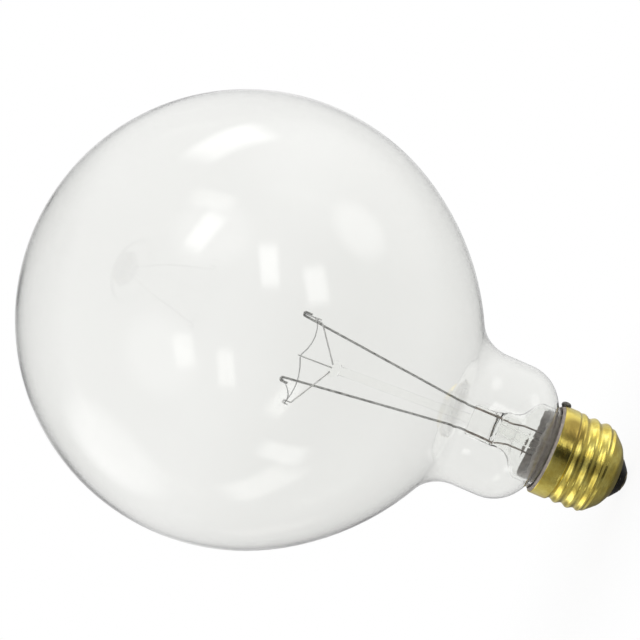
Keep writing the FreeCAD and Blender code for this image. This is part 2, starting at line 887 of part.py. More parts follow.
def end_chain(inset):
    """The dished end's corners from its rim down to its lip, moved in by the inset."""
    run = end_top_radius - end_waist_radius
    rise = size("end_corner_level") - size("end_waist_level")
    length = (run * run + rise * rise).root()
    low_run = end_waist_radius - size("end_lip_radius")
    low_rise = size("end_waist_level") - size("end_lip_level")
    low_length = (low_run * low_run + low_rise * low_rise).root()
    upper = (length - rise) / run * inset
    across = (length * low_run - low_length * run) / (run * low_rise - low_run * rise)
    lift = (length * low_rise - low_length * rise) / (run * low_rise - low_run * rise)
    return [
        (end_top_radius - inset, size("thread_low")),
        (end_top_radius - inset, size("end_corner_level") + upper, size("end_corner_bend") - inset),
        (end_waist_radius + across * inset, size("end_waist_level") + lift * inset,
         size("end_waist_bend")),
        (size("end_lip_radius") - low_rise / low_length * inset,
         size("end_lip_level") + low_run / low_length * inset),
    ]


outside_corners = end_chain(as_size(0.0))
inside_corners = end_chain(wall)
cap_end = turned_body("cap_end", outside_corners + inside_corners[::-1])
cap_shell = fuse("cap_shell", [cap_skirt, cap_thread, cap_end])

# Insulator: black glass that fills the dished end and stands out of it.

middle_corners = end_chain(wall / 2)
end_slope = (end_top_radius - end_waist_radius) / (size("end_corner_level") - size("end_waist_level"))
insulator_top_radius = middle_corners[2][0] + (size("insulator_level") - middle_corners[2][1]) * end_slope
collar = size("end_lip_radius") - wall - size("insulator_clear")
contact_top = size("contact_low") + size("contact_thickness")
insulator_blank = turned_body("insulator_blank", [
    (size("contact_bore"), contact_top),
    (size("contact_radius"), contact_top),
    (size("contact_radius"), size("insulator_low")),
    (size("insulator_face_radius"), size("insulator_low"), size("insulator_edge") / 2),
    (collar, size("insulator_side_level"), size("insulator_edge")),
    (collar, middle_corners[3][1]),
    (middle_corners[3][0], middle_corners[3][1]),
    (middle_corners[2][0], middle_corners[2][1], size("end_waist_bend")),
    (insulator_top_radius, size("insulator_level")),
    (size("contact_bore"), size("insulator_level")),
])
cap_insulator = cut("cap_insulator", insulator_blank, cap_end)

centre_contact = turned_body("centre_contact", [
    (size("contact_bore"), size("contact_low")),
    (size("contact_radius"), size("contact_low")),
    (size("contact_radius"), contact_top),
    (size("contact_bore"), contact_top),
])

solder_blank = turned_body("solder_blank", [
    (0.0, 0.0),
    (size("solder_flat_radius"), 0.0, 1.0),
    (size("solder_radius"), size("contact_low")),
    (size("contact_bore"), size("contact_low")),
    (size("contact_bore"), size("solder_height")),
    (0.0, size("solder_height")),
])
contact_solder = cut("contact_solder", solder_blank, outer_lead_contact)

# Cement: a ring between the neck and the skirt that swells over the rim,
# turns in under the seal and stands up inside the flare.

bead_drop = size("cement_bead") - size("seal_stand")
bead_x = (seal_radius + size("seal_fillet") + size("cement_clear")
          - (size("seal_fillet") * size("seal_fillet") - bead_drop * bead_drop).root())
cement_inner = flare_inner - size("cement_wall")
cement_foot = size("skirt_level") - size("cement_drop")
cement_blank = turned_body("cement_blank", [
    (cement_inner, cement_foot),
    (skirt_inner - size("cement_corner"), cement_foot),
    (skirt_inner - size("thread_step") - size("cement_clear"), size("skirt_level")),
    (skirt_inner, size("skirt_level") + size("cement_clear")),
    (skirt_inner, size("rim_level")),
    (bead_x + size("cement_bead") / 2, size("rim_level") + size("cement_bead")),
    (bead_x, size("rim_level") + size("cement_bead")),
    (seal_radius + 0.1, size("rim_level")),
    (seal_radius, size("rim_level") - 0.5),
    (seal_radius, seal_level),
    (flare_inner, seal_level),
    (flare_inner, size("cement_level")),
    (cement_inner, size("cement_level") - 0.3),
])

solder_blob = primitive("Part::Ellipsoid", "solder_blob",
                        (size("skirt_radius") + 0.2, 0.0, size("rim_level") + size("blob_lift")),
                        Radius1=size("blob_half_height"), Radius2=size("blob_out"),
                        Radius3=size("blob_half_width"))
cement_voids = fuse("cement_voids", [outer_lead_shell, solder_blob])
basing_cement = cut("basing_cement", cement_blank, cement_voids)

rim_ground = primitive("Part::Cylinder", "rim_ground", (0.0, 0.0, size("skirt_level")),
                       Radius=size("skirt_radius") + size("blob_out") * 2.0,
                       Height=size("rim_level") - size("skirt_level"))
solder_ground = fuse("solder_ground", [rim_ground, outer_lead_shell])
side_solder = cut("side_solder", solder_blob, solder_ground)


NODES = {
    "glass_envelope": glass_envelope,
    "stem_flare": stem_flare,
    "exhaust_tube": exhaust_tube,
    "arbor_rod": arbor_rod,
    "inner_lead_a": inner_lead_a,
    "inner_lead_b": inner_lead_b,
    "dumet_seal_a": dumet_seal_a,
    "dumet_seal_b": dumet_seal_b,
    "outer_lead_shell": outer_lead_shell,
    "outer_lead_contact": outer_lead_contact,
    "support_wire_1": support_wires[0],
    "support_wire_2": support_wires[1],
    "support_wire_3": support_wires[2],
    "filament": filament,
    "cap_shell": cap_shell,
    "cap_insulator": cap_insulator,
    "centre_contact": centre_contact,
    "contact_solder": contact_solder,
    "side_solder": side_solder,
    "basing_cement": basing_cement,
}

for label, item in NODES.items():
    item.Label = label
doc.recompute()

for item in doc.Objects:
    for word in ("Invalid", "Error"):
        if word in item.State:
            raise RuntimeError(f"{item.Name} is marked {word}")
for label, item in NODES.items():
    if item.Shape.isNull() or not item.Shape.isValid():
        raise RuntimeError(f"{label} has no valid shape")

os.makedirs(OUTPUT_FOLDER, exist_ok=True)
for label, item in NODES.items():
    item.Shape.exportStep(f"{OUTPUT_FOLDER}/{label}.step")
    box = item.Shape.BoundBox
    print(f"{label}: {len(item.Shape.Solids)} solid, {item.Shape.Volume:.2f} mm3, "
          f"z {box.ZMin:.2f} to {box.ZMax:.2f}")
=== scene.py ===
"""Clear globe bulb with a brass screw cap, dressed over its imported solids.

The bulb stands along +Z with the lowest point of its centre contact at the
origin. Sizes are in millimetres, and become metres where a mesh is made.
"""

from __future__ import annotations

import logging
import math
from collections.abc import Callable, Sequence
from dataclasses import dataclass, field
from enum import Enum

import bpy
from mathutils import Matrix, Vector, noise

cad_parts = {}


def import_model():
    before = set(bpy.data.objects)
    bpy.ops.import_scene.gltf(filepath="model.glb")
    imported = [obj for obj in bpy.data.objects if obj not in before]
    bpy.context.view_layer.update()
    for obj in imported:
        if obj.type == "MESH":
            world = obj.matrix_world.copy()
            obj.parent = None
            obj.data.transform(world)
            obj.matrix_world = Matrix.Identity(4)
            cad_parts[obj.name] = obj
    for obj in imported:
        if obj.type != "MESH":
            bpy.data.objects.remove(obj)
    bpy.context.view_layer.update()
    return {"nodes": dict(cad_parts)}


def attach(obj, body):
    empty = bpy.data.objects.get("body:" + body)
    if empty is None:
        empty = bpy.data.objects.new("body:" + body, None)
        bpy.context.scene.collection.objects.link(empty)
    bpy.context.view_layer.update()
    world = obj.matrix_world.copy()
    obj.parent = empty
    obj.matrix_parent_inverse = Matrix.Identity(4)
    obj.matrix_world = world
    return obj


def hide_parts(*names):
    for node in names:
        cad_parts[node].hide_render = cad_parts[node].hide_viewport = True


LOG = logging.getLogger("globe_bulb")
METRE = 0.001
SAME_POINT = 0.002
SAME_LEVEL = 0.01
WATTS_PER_AREA = 4.0

Point = tuple[float, float, float]
Colour = tuple[float, float, float, float]
WHITE: Colour = (1.0, 1.0, 1.0, 1.0)


# Shapes


@dataclass(frozen=True)
class Ring:
    """A level ring of a lofted piece.

    Attributes:
        radius: Half width along X, or the radius of a round ring.
        level: Height above the origin.
        depth: Half width along Y, where the ring is an oval.
        across: How far its centre lies off the axis, along X.
    """

    radius: float
    level: float
    depth: float | None = None
    across: float = 0.0

    @property
    def half_depth(self) -> float:
        """Half width along Y."""
        return self.radius if self.depth is None else self.depth


class Ending(Enum):
    """How a loft's first or last ring is closed."""

    OPEN = "open"
    POLE = "pole"


def turned(rows: Sequence[tuple[float, float]]) -> list[Ring]:
    """Round rings from rows of their radius and level."""
    return [Ring(radius, level) for radius, level in rows]


def arc_rings(
    centre: tuple[float, float],
    radius: float,
    start: float,
    end: float,
    count: int,
) -> list[Ring]:
    """Rings along an arc of a turned profile.

    Args:
        centre: The arc's centre, as its distance from the axis and its level.
        radius: The arc's radius.
        start: The angle of its first ring, in degrees up from outwards.
        end: The angle of its last ring.
        count: How many rings it has.

    Returns:
        The rings, from start to end.
    """
    rings = []
    for step in range(count):
        angle = math.radians(start + (end - start) * step / (count - 1))
        rings.append(Ring(centre[0] + radius * math.cos(angle), centre[1] + radius * math.sin(angle)))
    return rings


def rounded(corners: Sequence[tuple[float, ...]], steps: int = 7) -> list[Ring]:
    """Rings along straight runs of a turned profile, whose corners may be round.

    Args:
        corners: Each corner's distance from the axis and level, and its bend
            where it is round. The first and last are sharp.
        steps: How many steps a bend has.

    Returns:
        The rings, in the corners' order.
    """
    rings = []
    for index, corner in enumerate(corners):
        spot = Vector(corner[:2])
        if len(corner) == 2:
            rings.append(Ring(spot.x, spot.y))
            continue
        before = (Vector(corners[index - 1][:2]) - spot).normalized()
        after = (Vector(corners[index + 1][:2]) - spot).normalized()
        half = before.angle(after) / 2
        centre = spot + (before + after).normalized() * corner[2] / math.sin(half)
        arms = [spot + side * corner[2] / math.tan(half) - centre for side in (before, after)]
        start, end = (math.degrees(math.atan2(arm.y, arm.x)) for arm in arms)
        turn = (end - start + 180.0) % 360.0 - 180.0
        rings += arc_rings((centre.x, centre.y), corner[2], start, start + turn, steps + 1)
    return rings


def select_only(piece: bpy.types.Object) -> None:
    """Makes one piece the only selected and active one.

    Args:
        piece: The piece to select.
    """
    bpy.ops.object.select_all(action="DESELECT")
    piece.select_set(True)
    bpy.context.view_layer.objects.active = piece


def apply_modifiers(piece: bpy.types.Object) -> None:
    """Applies all modifiers of a piece, in order.

    Args:
        piece: The piece whose modifiers are applied.
    """
    select_only(piece)
    for modifier in list(piece.modifiers):
        bpy.ops.object.modifier_apply(modifier=modifier.name)


def merge_and_turn_out(piece: bpy.types.Object) -> None:
    """Merges doubled points of a piece and turns its faces outwards.

    Args:
        piece: The piece to clean.
    """
    select_only(piece)
    bpy.ops.object.mode_set(mode="EDIT")
    bpy.ops.mesh.select_all(action="SELECT")
    bpy.ops.mesh.remove_doubles(threshold=SAME_POINT * METRE)
    bpy.ops.mesh.normals_make_consistent(inside=False)
    bpy.ops.object.mode_set(mode="OBJECT")


def smooth(piece: bpy.types.Object, angle: float) -> None:
    """Shades a piece smooth, apart from edges sharper than an angle.

    Args:
        piece: The piece to shade.
        angle: The angle in degrees.
    """
    select_only(piece)
    bpy.ops.object.shade_smooth_by_angle(angle=math.radians(angle))


def loft(
    name: str,
    rings: Sequence[Ring],
    segments: int,
    start: Ending = Ending.OPEN,
    end: Ending = Ending.OPEN,
) -> bpy.types.Object:
    """Draws a piece up ring by ring from a circle.

    Args:
        name: The piece's name.
        rings: Its rings in order. The first and last may be the same ring,
            which closes the section.
        segments: Points in each ring.
        start: How the first ring is closed.
        end: How the last ring is closed.

    Returns:
        The piece, with its doubles merged and its faces turned outwards.
    """
    bpy.ops.object.select_all(action="DESELECT")
    first = rings[0]
    bpy.ops.mesh.primitive_circle_add(vertices=segments, radius=first.radius * METRE, fill_type="NOTHING")
    piece = bpy.context.object
    piece.name = name
    piece.data.name = name
    bpy.ops.object.mode_set(mode="EDIT")
    bpy.ops.mesh.select_all(action="SELECT")
    bpy.ops.transform.resize(
        value=(1.0, first.half_depth / first.radius, 1.0),
        center_override=(0.0, 0.0, 0.0),
    )
    bpy.ops.transform.translate(value=(first.across * METRE, 0.0, first.level * METRE))
    if start is Ending.POLE:
        close_at_pole()
    for before, ring in zip(rings, rings[1:]):
        step = ((ring.across - before.across) * METRE, 0.0, (ring.level - before.level) * METRE)
        bpy.ops.mesh.extrude_region_move(TRANSFORM_OT_translate={"value": step})
        bpy.ops.transform.resize(
            value=(ring.radius / before.radius, ring.half_depth / before.half_depth, 1.0),
            center_override=(ring.across * METRE, 0.0, ring.level * METRE),
        )
    if end is Ending.POLE:
        bpy.ops.mesh.extrude_region_move(TRANSFORM_OT_translate={"value": (0.0, 0.0, 0.0)})
        bpy.ops.mesh.merge(type="CENTER")
    bpy.ops.object.mode_set(mode="OBJECT")
    merge_and_turn_out(piece)
    return piece


def close_at_pole() -> None:
    """Closes the selected first ring with a fan, and selects the ring again."""
    bpy.ops.mesh.extrude_region_move(TRANSFORM_OT_translate={"value": (0.0, 0.0, 0.0)})
    bpy.ops.mesh.merge(type="CENTER")
    bpy.ops.mesh.select_all(action="INVERT")


def reshape(piece: bpy.types.Object, place: Callable[[Vector], Vector]) -> None:
    """Moves every point of a piece.

    Args:
        piece: The piece to shape.
        place: Gives a point's new place from its old one, in millimetres.
    """
    for vertex in piece.data.vertices:
        vertex.co = place(vertex.co / METRE) * METRE
    piece.data.update()


def add_wall(piece: bpy.types.Object, thickness: float) -> None:
    """Gives an open skin a wall on its inner side.

    Args:
        piece: The skin.
        thickness: The wall in millimetres.
    """
    wall = piece.modifiers.new("wall", "SOLIDIFY")
    wall.thickness = thickness * METRE
    wall.offset = -1.0
    wall.use_even_offset = True
    apply_modifiers(piece)


def ripple(place: Vector, size: float, seed: float) -> float:
    """Smooth noise between about -1 and 1.

    Args:
        place: Where it is read, in millimetres.
        size: The width of its lumps in millimetres.
        seed: Tells one pattern from another.

    Returns:
        The noise at that place.
    """
    return noise.noise(place / size + Vector((seed, seed * 0.7, seed * 1.3)))


def ease(share: float) -> float:
    """A smooth rise from 0 to 1, flat past both ends."""
    share = min(1.0, max(0.0, share))
    return share * share * (3.0 - 2.0 * share)


# Finishes


class Shader:
    """A node material that is put together from the surface back.

    Attributes:
        material: The material.
        surface: Its Principled shader.
    """

    def __init__(self, name: str) -> None:
        """Starts a material with one shader.

        Args:
            name: The material's name.
        """
        self.material = bpy.data.materials.new(name)
        self.material.use_nodes = True
        self.tree = self.material.node_tree
        self.surface = self.tree.nodes["Principled BSDF"]

    def set(self, **values: float | Colour) -> None:
        """Sets constant sockets of the shader, with _ for a space in each name."""
        for name, value in values.items():
            self.surface.inputs[name.replace("_", " ")].default_value = value

    def add(self, kind: str, **values: float | Colour) -> bpy.types.Node:
        """Adds a node and sets its sockets.

        Args:
            kind: The node's type.
            values: Its sockets' values, with _ for a space in each name.

        Returns:
            The node.
        """
        node = self.tree.nodes.new(kind)
        for name, value in values.items():
            node.inputs[name.replace("_", " ")].default_value = value
        return node

    def join(self, source: bpy.types.NodeSocket, target: bpy.types.NodeSocket) -> None:
        """Links two sockets."""
        self.tree.links.new(source, target)

    def tint(self, colour: bpy.types.NodeSocket) -> None:
        """Gives the surface a colour that comes from a node."""
        self.join(colour, self.surface.inputs["Base Color"])

    def place(self, scale: Point = (1.0, 1.0, 1.0)) -> bpy.types.NodeSocket:
        """The piece's own coordinates in metres, scaled.

        Args:
            scale: The scale along each axis.

        Returns:
            The socket that holds them.
        """
        coordinates = self.add("ShaderNodeTexCoord")
        mapping = self.add("ShaderNodeMapping")
        mapping.inputs["Scale"].default_value = scale
        self.join(coordinates.outputs["Object"], mapping.inputs["Vector"])
        return mapping.outputs["Vector"]

    def grain(
        self,
        lump: float,
        detail: float = 2.0,
        roughness: float = 0.5,
        scale: Point = (1.0, 1.0, 1.0),
    ) -> bpy.types.NodeSocket:
        """Noise with lumps of a given width.

        Args:
            lump: The lumps' width in millimetres.
            detail: How many finer layers it has.
            roughness: How strong the finer layers are.
            scale: Stretches the lumps, smaller being longer.

        Returns:
            The noise's value.
        """
        node = self.add("ShaderNodeTexNoise", Scale=1.0 / (lump * METRE), Detail=detail, Roughness=roughness)
        self.join(self.place(scale), node.inputs["Vector"])
        return node.outputs["Fac"]

    def ramp(
        self,
        source: bpy.types.NodeSocket,
        low: float,
        high: float,
        first: Colour,
        last: Colour,
    ) -> bpy.types.NodeSocket:
        """A blend of two colours as a value goes from low to high.

        Args:
            source: The value.
            low: Where the first colour ends.
            high: Where the last colour starts.
            first: The colour below low.
            last: The colour above high.

        Returns:
            The blended colour.
        """
        node = self.add("ShaderNodeValToRGB")
        node.color_ramp.elements[0].position = low
        node.color_ramp.elements[0].color = first
        node.color_ramp.elements[1].position = high
        node.color_ramp.elements[1].color = last
        self.join(source, node.inputs["Fac"])
        return node.outputs["Color"]

    def bump(self, height: bpy.types.NodeSocket, depth: float) -> None:
        """Adds a bump to the shader, on top of any that it has.

        Args:
            height: The height from 0 to 1.
            depth: How high 1 stands, in millimetres.
        """
        node = self.add("ShaderNodeBump", Strength=1.0, Distance=depth * METRE)
        self.join(height, node.inputs["Height"])
        below = self.surface.inputs["Normal"].links
        if below:
            self.join(below[0].from_socket, node.inputs["Normal"])
        self.join(node.outputs["Normal"], self.surface.inputs["Normal"])


@dataclass(frozen=True)
class Glass:
    """Clear glass, blown or drawn.

    Attributes:
        name: The material's name.
        tint: The colour that it lets through.
        wave: The width of its waves in millimetres.
        wave_depth: How deep the waves are in millimetres.
        bend: Its refractive index.
        neck_painted_shade: The darker colour that it lets through at the neck, a painted shade over its own
            tint.
        neck_painted_shade_levels: Where that painted shade is full and where it ends.
    """

    name: str
    tint: Colour
    wave: float
    wave_depth: float
    bend: float = 1.5
    neck_painted_shade: Colour | None = None
    neck_painted_shade_levels: tuple[float, float] = (0.0, 1.0)

    def make(self) -> bpy.types.Material:
        """Makes the material."""
        shader = Shader(self.name)
        shader.set(Base_Color=self.tint, Roughness=0.0, IOR=self.bend, Transmission_Weight=1.0)
        # Painted shade: the glass is tinted darker towards the neck, fully below the first level and not at
        # all above the second.
        if self.neck_painted_shade is not None:
            sides = shader.add("ShaderNodeSeparateXYZ")
            shader.join(shader.place(), sides.inputs["Vector"])
            share = shader.add("ShaderNodeMapRange")
            share.inputs["From Min"].default_value = self.neck_painted_shade_levels[0] * METRE
            share.inputs["From Max"].default_value = self.neck_painted_shade_levels[1] * METRE
            shader.join(sides.outputs["Z"], share.inputs["Value"])
            shader.tint(shader.ramp(share.outputs["Result"], 0.0, 1.0, self.neck_painted_shade, self.tint))
        shader.bump(shader.grain(self.wave, detail=1.0), self.wave_depth)
        return shader.material


@dataclass(frozen=True)
class RolledBrass:
    """Bright thin brass with the faint waves of rolling and a slight tarnish.

    Attributes:
        name: The material's name.
        bright: The clean metal.
        dull: The tarnished metal.
        roughness: How soft its reflections are where clean.
        softening: How much softer they are where it is dull.
        dark_patch: A brown that the metal darkens to round a spot, if it is given.
        dark_patch_spot: The middle of that patch, in millimetres.
        dark_patch_reach: How far from there it is full, and where it ends.
        dark_patch_ragged: How far the tarnish draws the patch's edge in, in millimetres.
    """

    name: str = "cap_brass"
    bright: Colour = (0.92, 0.79, 0.21, 1.0)
    dull: Colour = (0.72, 0.54, 0.09, 1.0)
    roughness: float = 0.16
    softening: float = 0.16
    dark_patch: Colour | None = None
    dark_patch_spot: Point = (7.85, -10.5, 20.6)
    dark_patch_reach: tuple[float, float] = (3.5, 8.0)
    dark_patch_ragged: float = 3.0

    def make(self) -> bpy.types.Material:
        """Makes the material."""
        shader = Shader(self.name)
        shader.set(Metallic=1.0)
        patches = shader.grain(3.2, detail=4.0, roughness=0.6)
        tone = shader.ramp(patches, 0.35, 0.72, self.bright, self.dull)
        # A brown patch darkens the metal round a spot on the skirt.
        if self.dark_patch is not None:
            tone = self.with_dark_patch(shader, tone, patches)
        shader.tint(tone)
        gloss = shader.add("ShaderNodeMapRange")
        gloss.inputs["To Min"].default_value = self.roughness
        gloss.inputs["To Max"].default_value = self.roughness + self.softening
        shader.join(shader.grain(1.4, detail=3.0), gloss.inputs["Value"])
        shader.join(gloss.outputs["Result"], shader.surface.inputs["Roughness"])
        shader.bump(shader.grain(2.6, detail=2.0, scale=(1.0, 1.0, 1.6)), 0.09)
        shader.bump(shader.grain(0.35, detail=2.0, scale=(1.0, 1.0, 6.0)), 0.003)
        return shader.material

    def with_dark_patch(
        self,
        shader: Shader,
        tone: bpy.types.NodeSocket,
        patches: bpy.types.NodeSocket,
    ) -> bpy.types.NodeSocket:
        """The metal's colour with the brown patch that fades out round its spot.

        Args:
            shader: The material.
            tone: The colour without the stain.
            patches: The tarnish, which makes the patch's edge ragged.

        Returns:
            The colour with it.
        """
        away = shader.add("ShaderNodeVectorMath")
        away.operation = "DISTANCE"
        away.inputs[1].default_value = tuple(side * METRE for side in self.dark_patch_spot)
        shader.join(shader.place(), away.inputs[0])
        ragged = shader.add("ShaderNodeMath")
        ragged.operation = "MULTIPLY_ADD"
        ragged.inputs[1].default_value = self.dark_patch_ragged * METRE
        shader.join(patches, ragged.inputs[0])
        shader.join(away.outputs["Value"], ragged.inputs[2])
        share = shader.add("ShaderNodeMapRange")
        share.interpolation_type = "SMOOTHSTEP"
        share.inputs["From Min"].default_value = self.dark_patch_reach[0] * METRE
        share.inputs["From Max"].default_value = self.dark_patch_reach[1] * METRE
        share.inputs["To Min"].default_value = 1.0
        share.inputs["To Max"].default_value = 0.0
        shader.join(ragged.outputs[0], share.inputs["Value"])
        blend = shader.add("ShaderNodeMixRGB", Color2=self.dark_patch)
        shader.join(share.outputs["Result"], blend.inputs["Fac"])
        shader.join(tone, blend.inputs["Color1"])
        return blend.outputs["Color"]


@dataclass(frozen=True)
class Wire:
    """Drawn metal wire with fine marks along it.

    Attributes:
        name: The material's name.
        bright: The bare metal.
        dark: The oxidised metal.
        roughness: How soft its reflections are.
    """

    name: str
    bright: Colour
    dark: Colour
    roughness: float

    def make(self) -> bpy.types.Material:
        """Makes the material."""
        shader = Shader(self.name)
        shader.set(Metallic=1.0, Roughness=self.roughness)
        patches = shader.grain(1.1, detail=3.0, roughness=0.6)
        shader.tint(shader.ramp(patches, 0.35, 0.65, self.dark, self.bright))
        shader.bump(shader.grain(0.12, detail=2.0, scale=(1.0, 1.0, 0.15)), 0.004)
        return shader.material


@dataclass(frozen=True)
class BlackGlass:
    """Glossy black glass with faint pits.

    Attributes:
        name: The material's name.
        deep: Its darkest tone.
        pale: Its palest tone.
    """

    name: str = "insulator_black"
    deep: Colour = (0.006, 0.0055, 0.005, 1.0)
    pale: Colour = (0.02, 0.018, 0.016, 1.0)

    def make(self) -> bpy.types.Material:
        """Makes the material."""
        shader = Shader(self.name)
        shader.set(Roughness=0.2, IOR=1.45, Specular_IOR_Level=0.2)
        shader.tint(shader.ramp(shader.grain(1.6, detail=3.0), 0.3, 0.8, self.deep, self.pale))
        shader.bump(shader.grain(0.9, detail=3.0), 0.03)
        return shader.material


@dataclass(frozen=True)
class SetSolder:
    """Dull solder that set with soft wrinkles.

    Attributes:
        name: The material's name.
        bright: Its clean metal.
        dark: Its flux-stained metal.
    """

    name: str
    bright: Colour
    dark: Colour

    def make(self) -> bpy.types.Material:
        """Makes the material."""
        shader = Shader(self.name)
        shader.set(Metallic=0.85, Roughness=0.38)
        dark_patch = shader.grain(0.7, detail=4.0, roughness=0.6)
        shader.tint(shader.ramp(dark_patch, 0.4, 0.65, self.dark, self.bright))
        shader.bump(shader.grain(0.5, detail=3.0), 0.06)
        return shader.material


@dataclass(frozen=True)
class BakedCement:
    """Grey-brown cement with pores and paler crumbs.

    Attributes:
        name: The material's name.
        dark: The tone of its pores.
        pale: The tone of its crumbs.
    """

    name: str = "cement"
    dark: Colour = (0.36, 0.315, 0.28, 1.0)
    pale: Colour = (0.6, 0.54, 0.49, 1.0)

    def make(self) -> bpy.types.Material:
        """Makes the material."""
        shader = Shader(self.name)
        shader.set(Roughness=0.85)
        crumbs = shader.grain(1.3, detail=6.0, roughness=0.65)
        shader.tint(shader.ramp(crumbs, 0.36, 0.72, self.dark, self.pale))
        shader.bump(shader.grain(0.5, detail=5.0, roughness=0.6), 0.16)
        return shader.material


@dataclass(frozen=True)
class Finishes:
    """All of the bulb's materials."""

    clear_glass: bpy.types.Material
    stem_glass: bpy.types.Material
    brass: bpy.types.Material
    contact_brass: bpy.types.Material
    nickel: bpy.types.Material
    copper: bpy.types.Material
    support: bpy.types.Material
    tungsten: bpy.types.Material
    black_glass: bpy.types.Material
    side_solder: bpy.types.Material
    tip_solder: bpy.types.Material
    cement: bpy.types.Material

    @classmethod
    def make(cls) -> Finishes:
        """Makes each material once."""
        return cls(
            clear_glass=Glass(
                name="clear_glass",
                tint=(0.942, 0.944, 0.932, 1.0),
                wave=26.0,
                wave_depth=0.09,
                bend=1.5,
                # Painted shade: a darker tint towards the neck.
                neck_painted_shade=(0.908, 0.910, 0.896, 1.0),
                neck_painted_shade_levels=(92.0, 116.0),
            ).make(),
            stem_glass=Glass(
                name="stem_glass",
                tint=(0.985, 0.988, 0.98, 1.0),
                wave=5.0,
                wave_depth=0.05,
                bend=1.28,
            ).make(),
            # The cap's brass darkens to a brown round a spot on its skirt.
            brass=RolledBrass(dark_patch=(0.34, 0.25, 0.06, 1.0)).make(),
            contact_brass=RolledBrass(
                name="contact_brass",
                bright=(0.3, 0.25, 0.15, 1.0),
                dull=(0.13, 0.11, 0.08, 1.0),
                roughness=0.34,
            ).make(),
            nickel=Wire("lead_nickel", (0.46, 0.46, 0.45, 1.0), (0.2, 0.2, 0.19, 1.0), 0.34).make(),
            copper=Wire("seal_copper", (0.34, 0.29, 0.25, 1.0), (0.15, 0.13, 0.11, 1.0), 0.38).make(),
            support=Wire("support_wire", (0.66, 0.66, 0.65, 1.0), (0.42, 0.42, 0.41, 1.0), 0.34).make(),
            tungsten=Wire("filament_wire", (0.42, 0.42, 0.42, 1.0), (0.22, 0.22, 0.22, 1.0), 0.4).make(),
            black_glass=BlackGlass().make(),
            side_solder=SetSolder("side_solder", (0.2, 0.19, 0.17, 1.0), (0.045, 0.04, 0.035, 1.0)).make(),
            tip_solder=SetSolder("tip_solder", (0.6, 0.6, 0.58, 1.0), (0.36, 0.35, 0.33, 1.0)).make(),
            cement=BakedCement().make(),
        )


def dress(piece: bpy.types.Object, material: bpy.types.Material) -> None:
    """Gives a piece one material all over.

    Args:
        piece: The piece.
        material: Its finish.
    """
    piece.data.materials.clear()
    piece.data.materials.append(material)


def seat(piece: bpy.types.Object, node: str) -> None:
    """Lets a piece stand for a solid, on the bulb's one body.

    Args:
        piece: The new piece.
        node: The solid that it stands for.
    """
    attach(piece, "root")
    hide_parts(node)


def finished(
    piece: bpy.types.Object,
    node: str,
    material: bpy.types.Material,
    angle: float = 50.0,
) -> bpy.types.Object:
    """Shades and dresses a shaped piece, and lets it stand for a solid.

    Args:
        piece: The shaped piece.
        node: The solid that it stands for.
        material: Its finish.
        angle: Edges sharper than this stay sharp, in degrees.

    Returns:
        The finished piece.
    """
    smooth(piece, angle)
    dress(piece, material)
    seat(piece, node)
    return piece


# The bulb's parts


@dataclass
class Envelope:
    """The blown glass: globe, hollow throat, straight neck, shoulder and seal.

    Attributes:
        length: The level of the globe's top, and the bulb's whole length.
        globe_radius: The globe's radius.
        wall: The glass's thickness.
        blend_depth: How far under its middle the globe's own arc ends.
        blend_radius: The radius of the flatter arc from there to the throat.
        throat_radius: The radius of the hollow throat.
        neck_radius: The straight neck's radius.
        shoulder_level: Where the neck ends and the shoulder begins.
        shoulder_radius: The radius of the shoulder's arc.
        seal_fillet: The radius of the bend from the shoulder to the seal.
        seal_radius: The radius of the glass that stands in the cap.
        seal_level: The level of its lower edge.
        top_angle: How far up the last ring lies, in degrees from level.
        segments: Points in each ring.
    """

    length: float = 178.7
    globe_radius: float = 63.5
    wall: float = 0.6
    blend_depth: float = 30.0
    blend_radius: float = 75.0
    throat_radius: float = 11.5
    neck_radius: float = 19.55
    shoulder_level: float = 37.0024
    shoulder_radius: float = 12.0
    seal_fillet: float = 2.0
    seal_radius: float = 11.85
    seal_level: float = 21.0
    top_angle: float = 88.5
    segments: int = 144

    def rings(self) -> list[Ring]:
        """The outside from the seal to just below the top of the globe."""
        middle = self.length - self.globe_radius
        side = math.sqrt(self.globe_radius**2 - self.blend_depth**2)
        reach = self.blend_radius / self.globe_radius
        blend = (side * (1.0 - reach), middle - self.blend_depth * (1.0 - reach))
        throat_r = self.neck_radius + self.throat_radius
        apart = self.blend_radius + self.throat_radius
        throat = (throat_r, blend[1] - math.sqrt(apart**2 - (throat_r - blend[0]) ** 2))
        shoulder = (self.neck_radius - self.shoulder_radius, self.shoulder_level)
        fillet_r = self.seal_radius + self.seal_fillet
        drop = math.sqrt((self.shoulder_radius + self.seal_fillet) ** 2 - (fillet_r - shoulder[0]) ** 2)
        fillet = (fillet_r, shoulder[1] - drop)
        lean = math.degrees(math.atan2(drop, fillet_r - shoulder[0]))
        throat_lean = math.degrees(math.atan2(blend[1] - throat[1], throat[0] - blend[0]))
        globe_lean = math.degrees(math.asin(self.blend_depth / self.globe_radius))

        rings = [Ring(self.seal_radius, self.seal_level)]
        rings.append(Ring(self.seal_radius, (self.seal_level + fillet[1]) / 2))
        rings += arc_rings(fillet, self.seal_fillet, 180.0, 180.0 - lean, 8)
        rings += arc_rings(shoulder, self.shoulder_radius, -lean, 0.0, 14)[1:]
        rings.append(Ring(self.neck_radius, (self.shoulder_level + throat[1]) / 2))
        rings += arc_rings(throat, self.throat_radius, 180.0, 180.0 - throat_lean, 12)
        rings += arc_rings(blend, self.blend_radius, -throat_lean, -globe_lean, 12)[1:]
        rings += arc_rings((0.0, middle), self.globe_radius, -globe_lean, self.top_angle, 44)[1:]
        return rings

    def build(self, finishes: Finishes) -> bpy.types.Object:
        """Makes the envelope.

        Args:
            finishes: The bulb's materials.

        Returns:
            The finished piece.
        """
        piece = loft("clear_envelope", self.rings(), self.segments, end=Ending.POLE)
        add_wall(piece, self.wall)
        return finished(piece, "glass_envelope", finishes.clear_glass, angle=60.0)


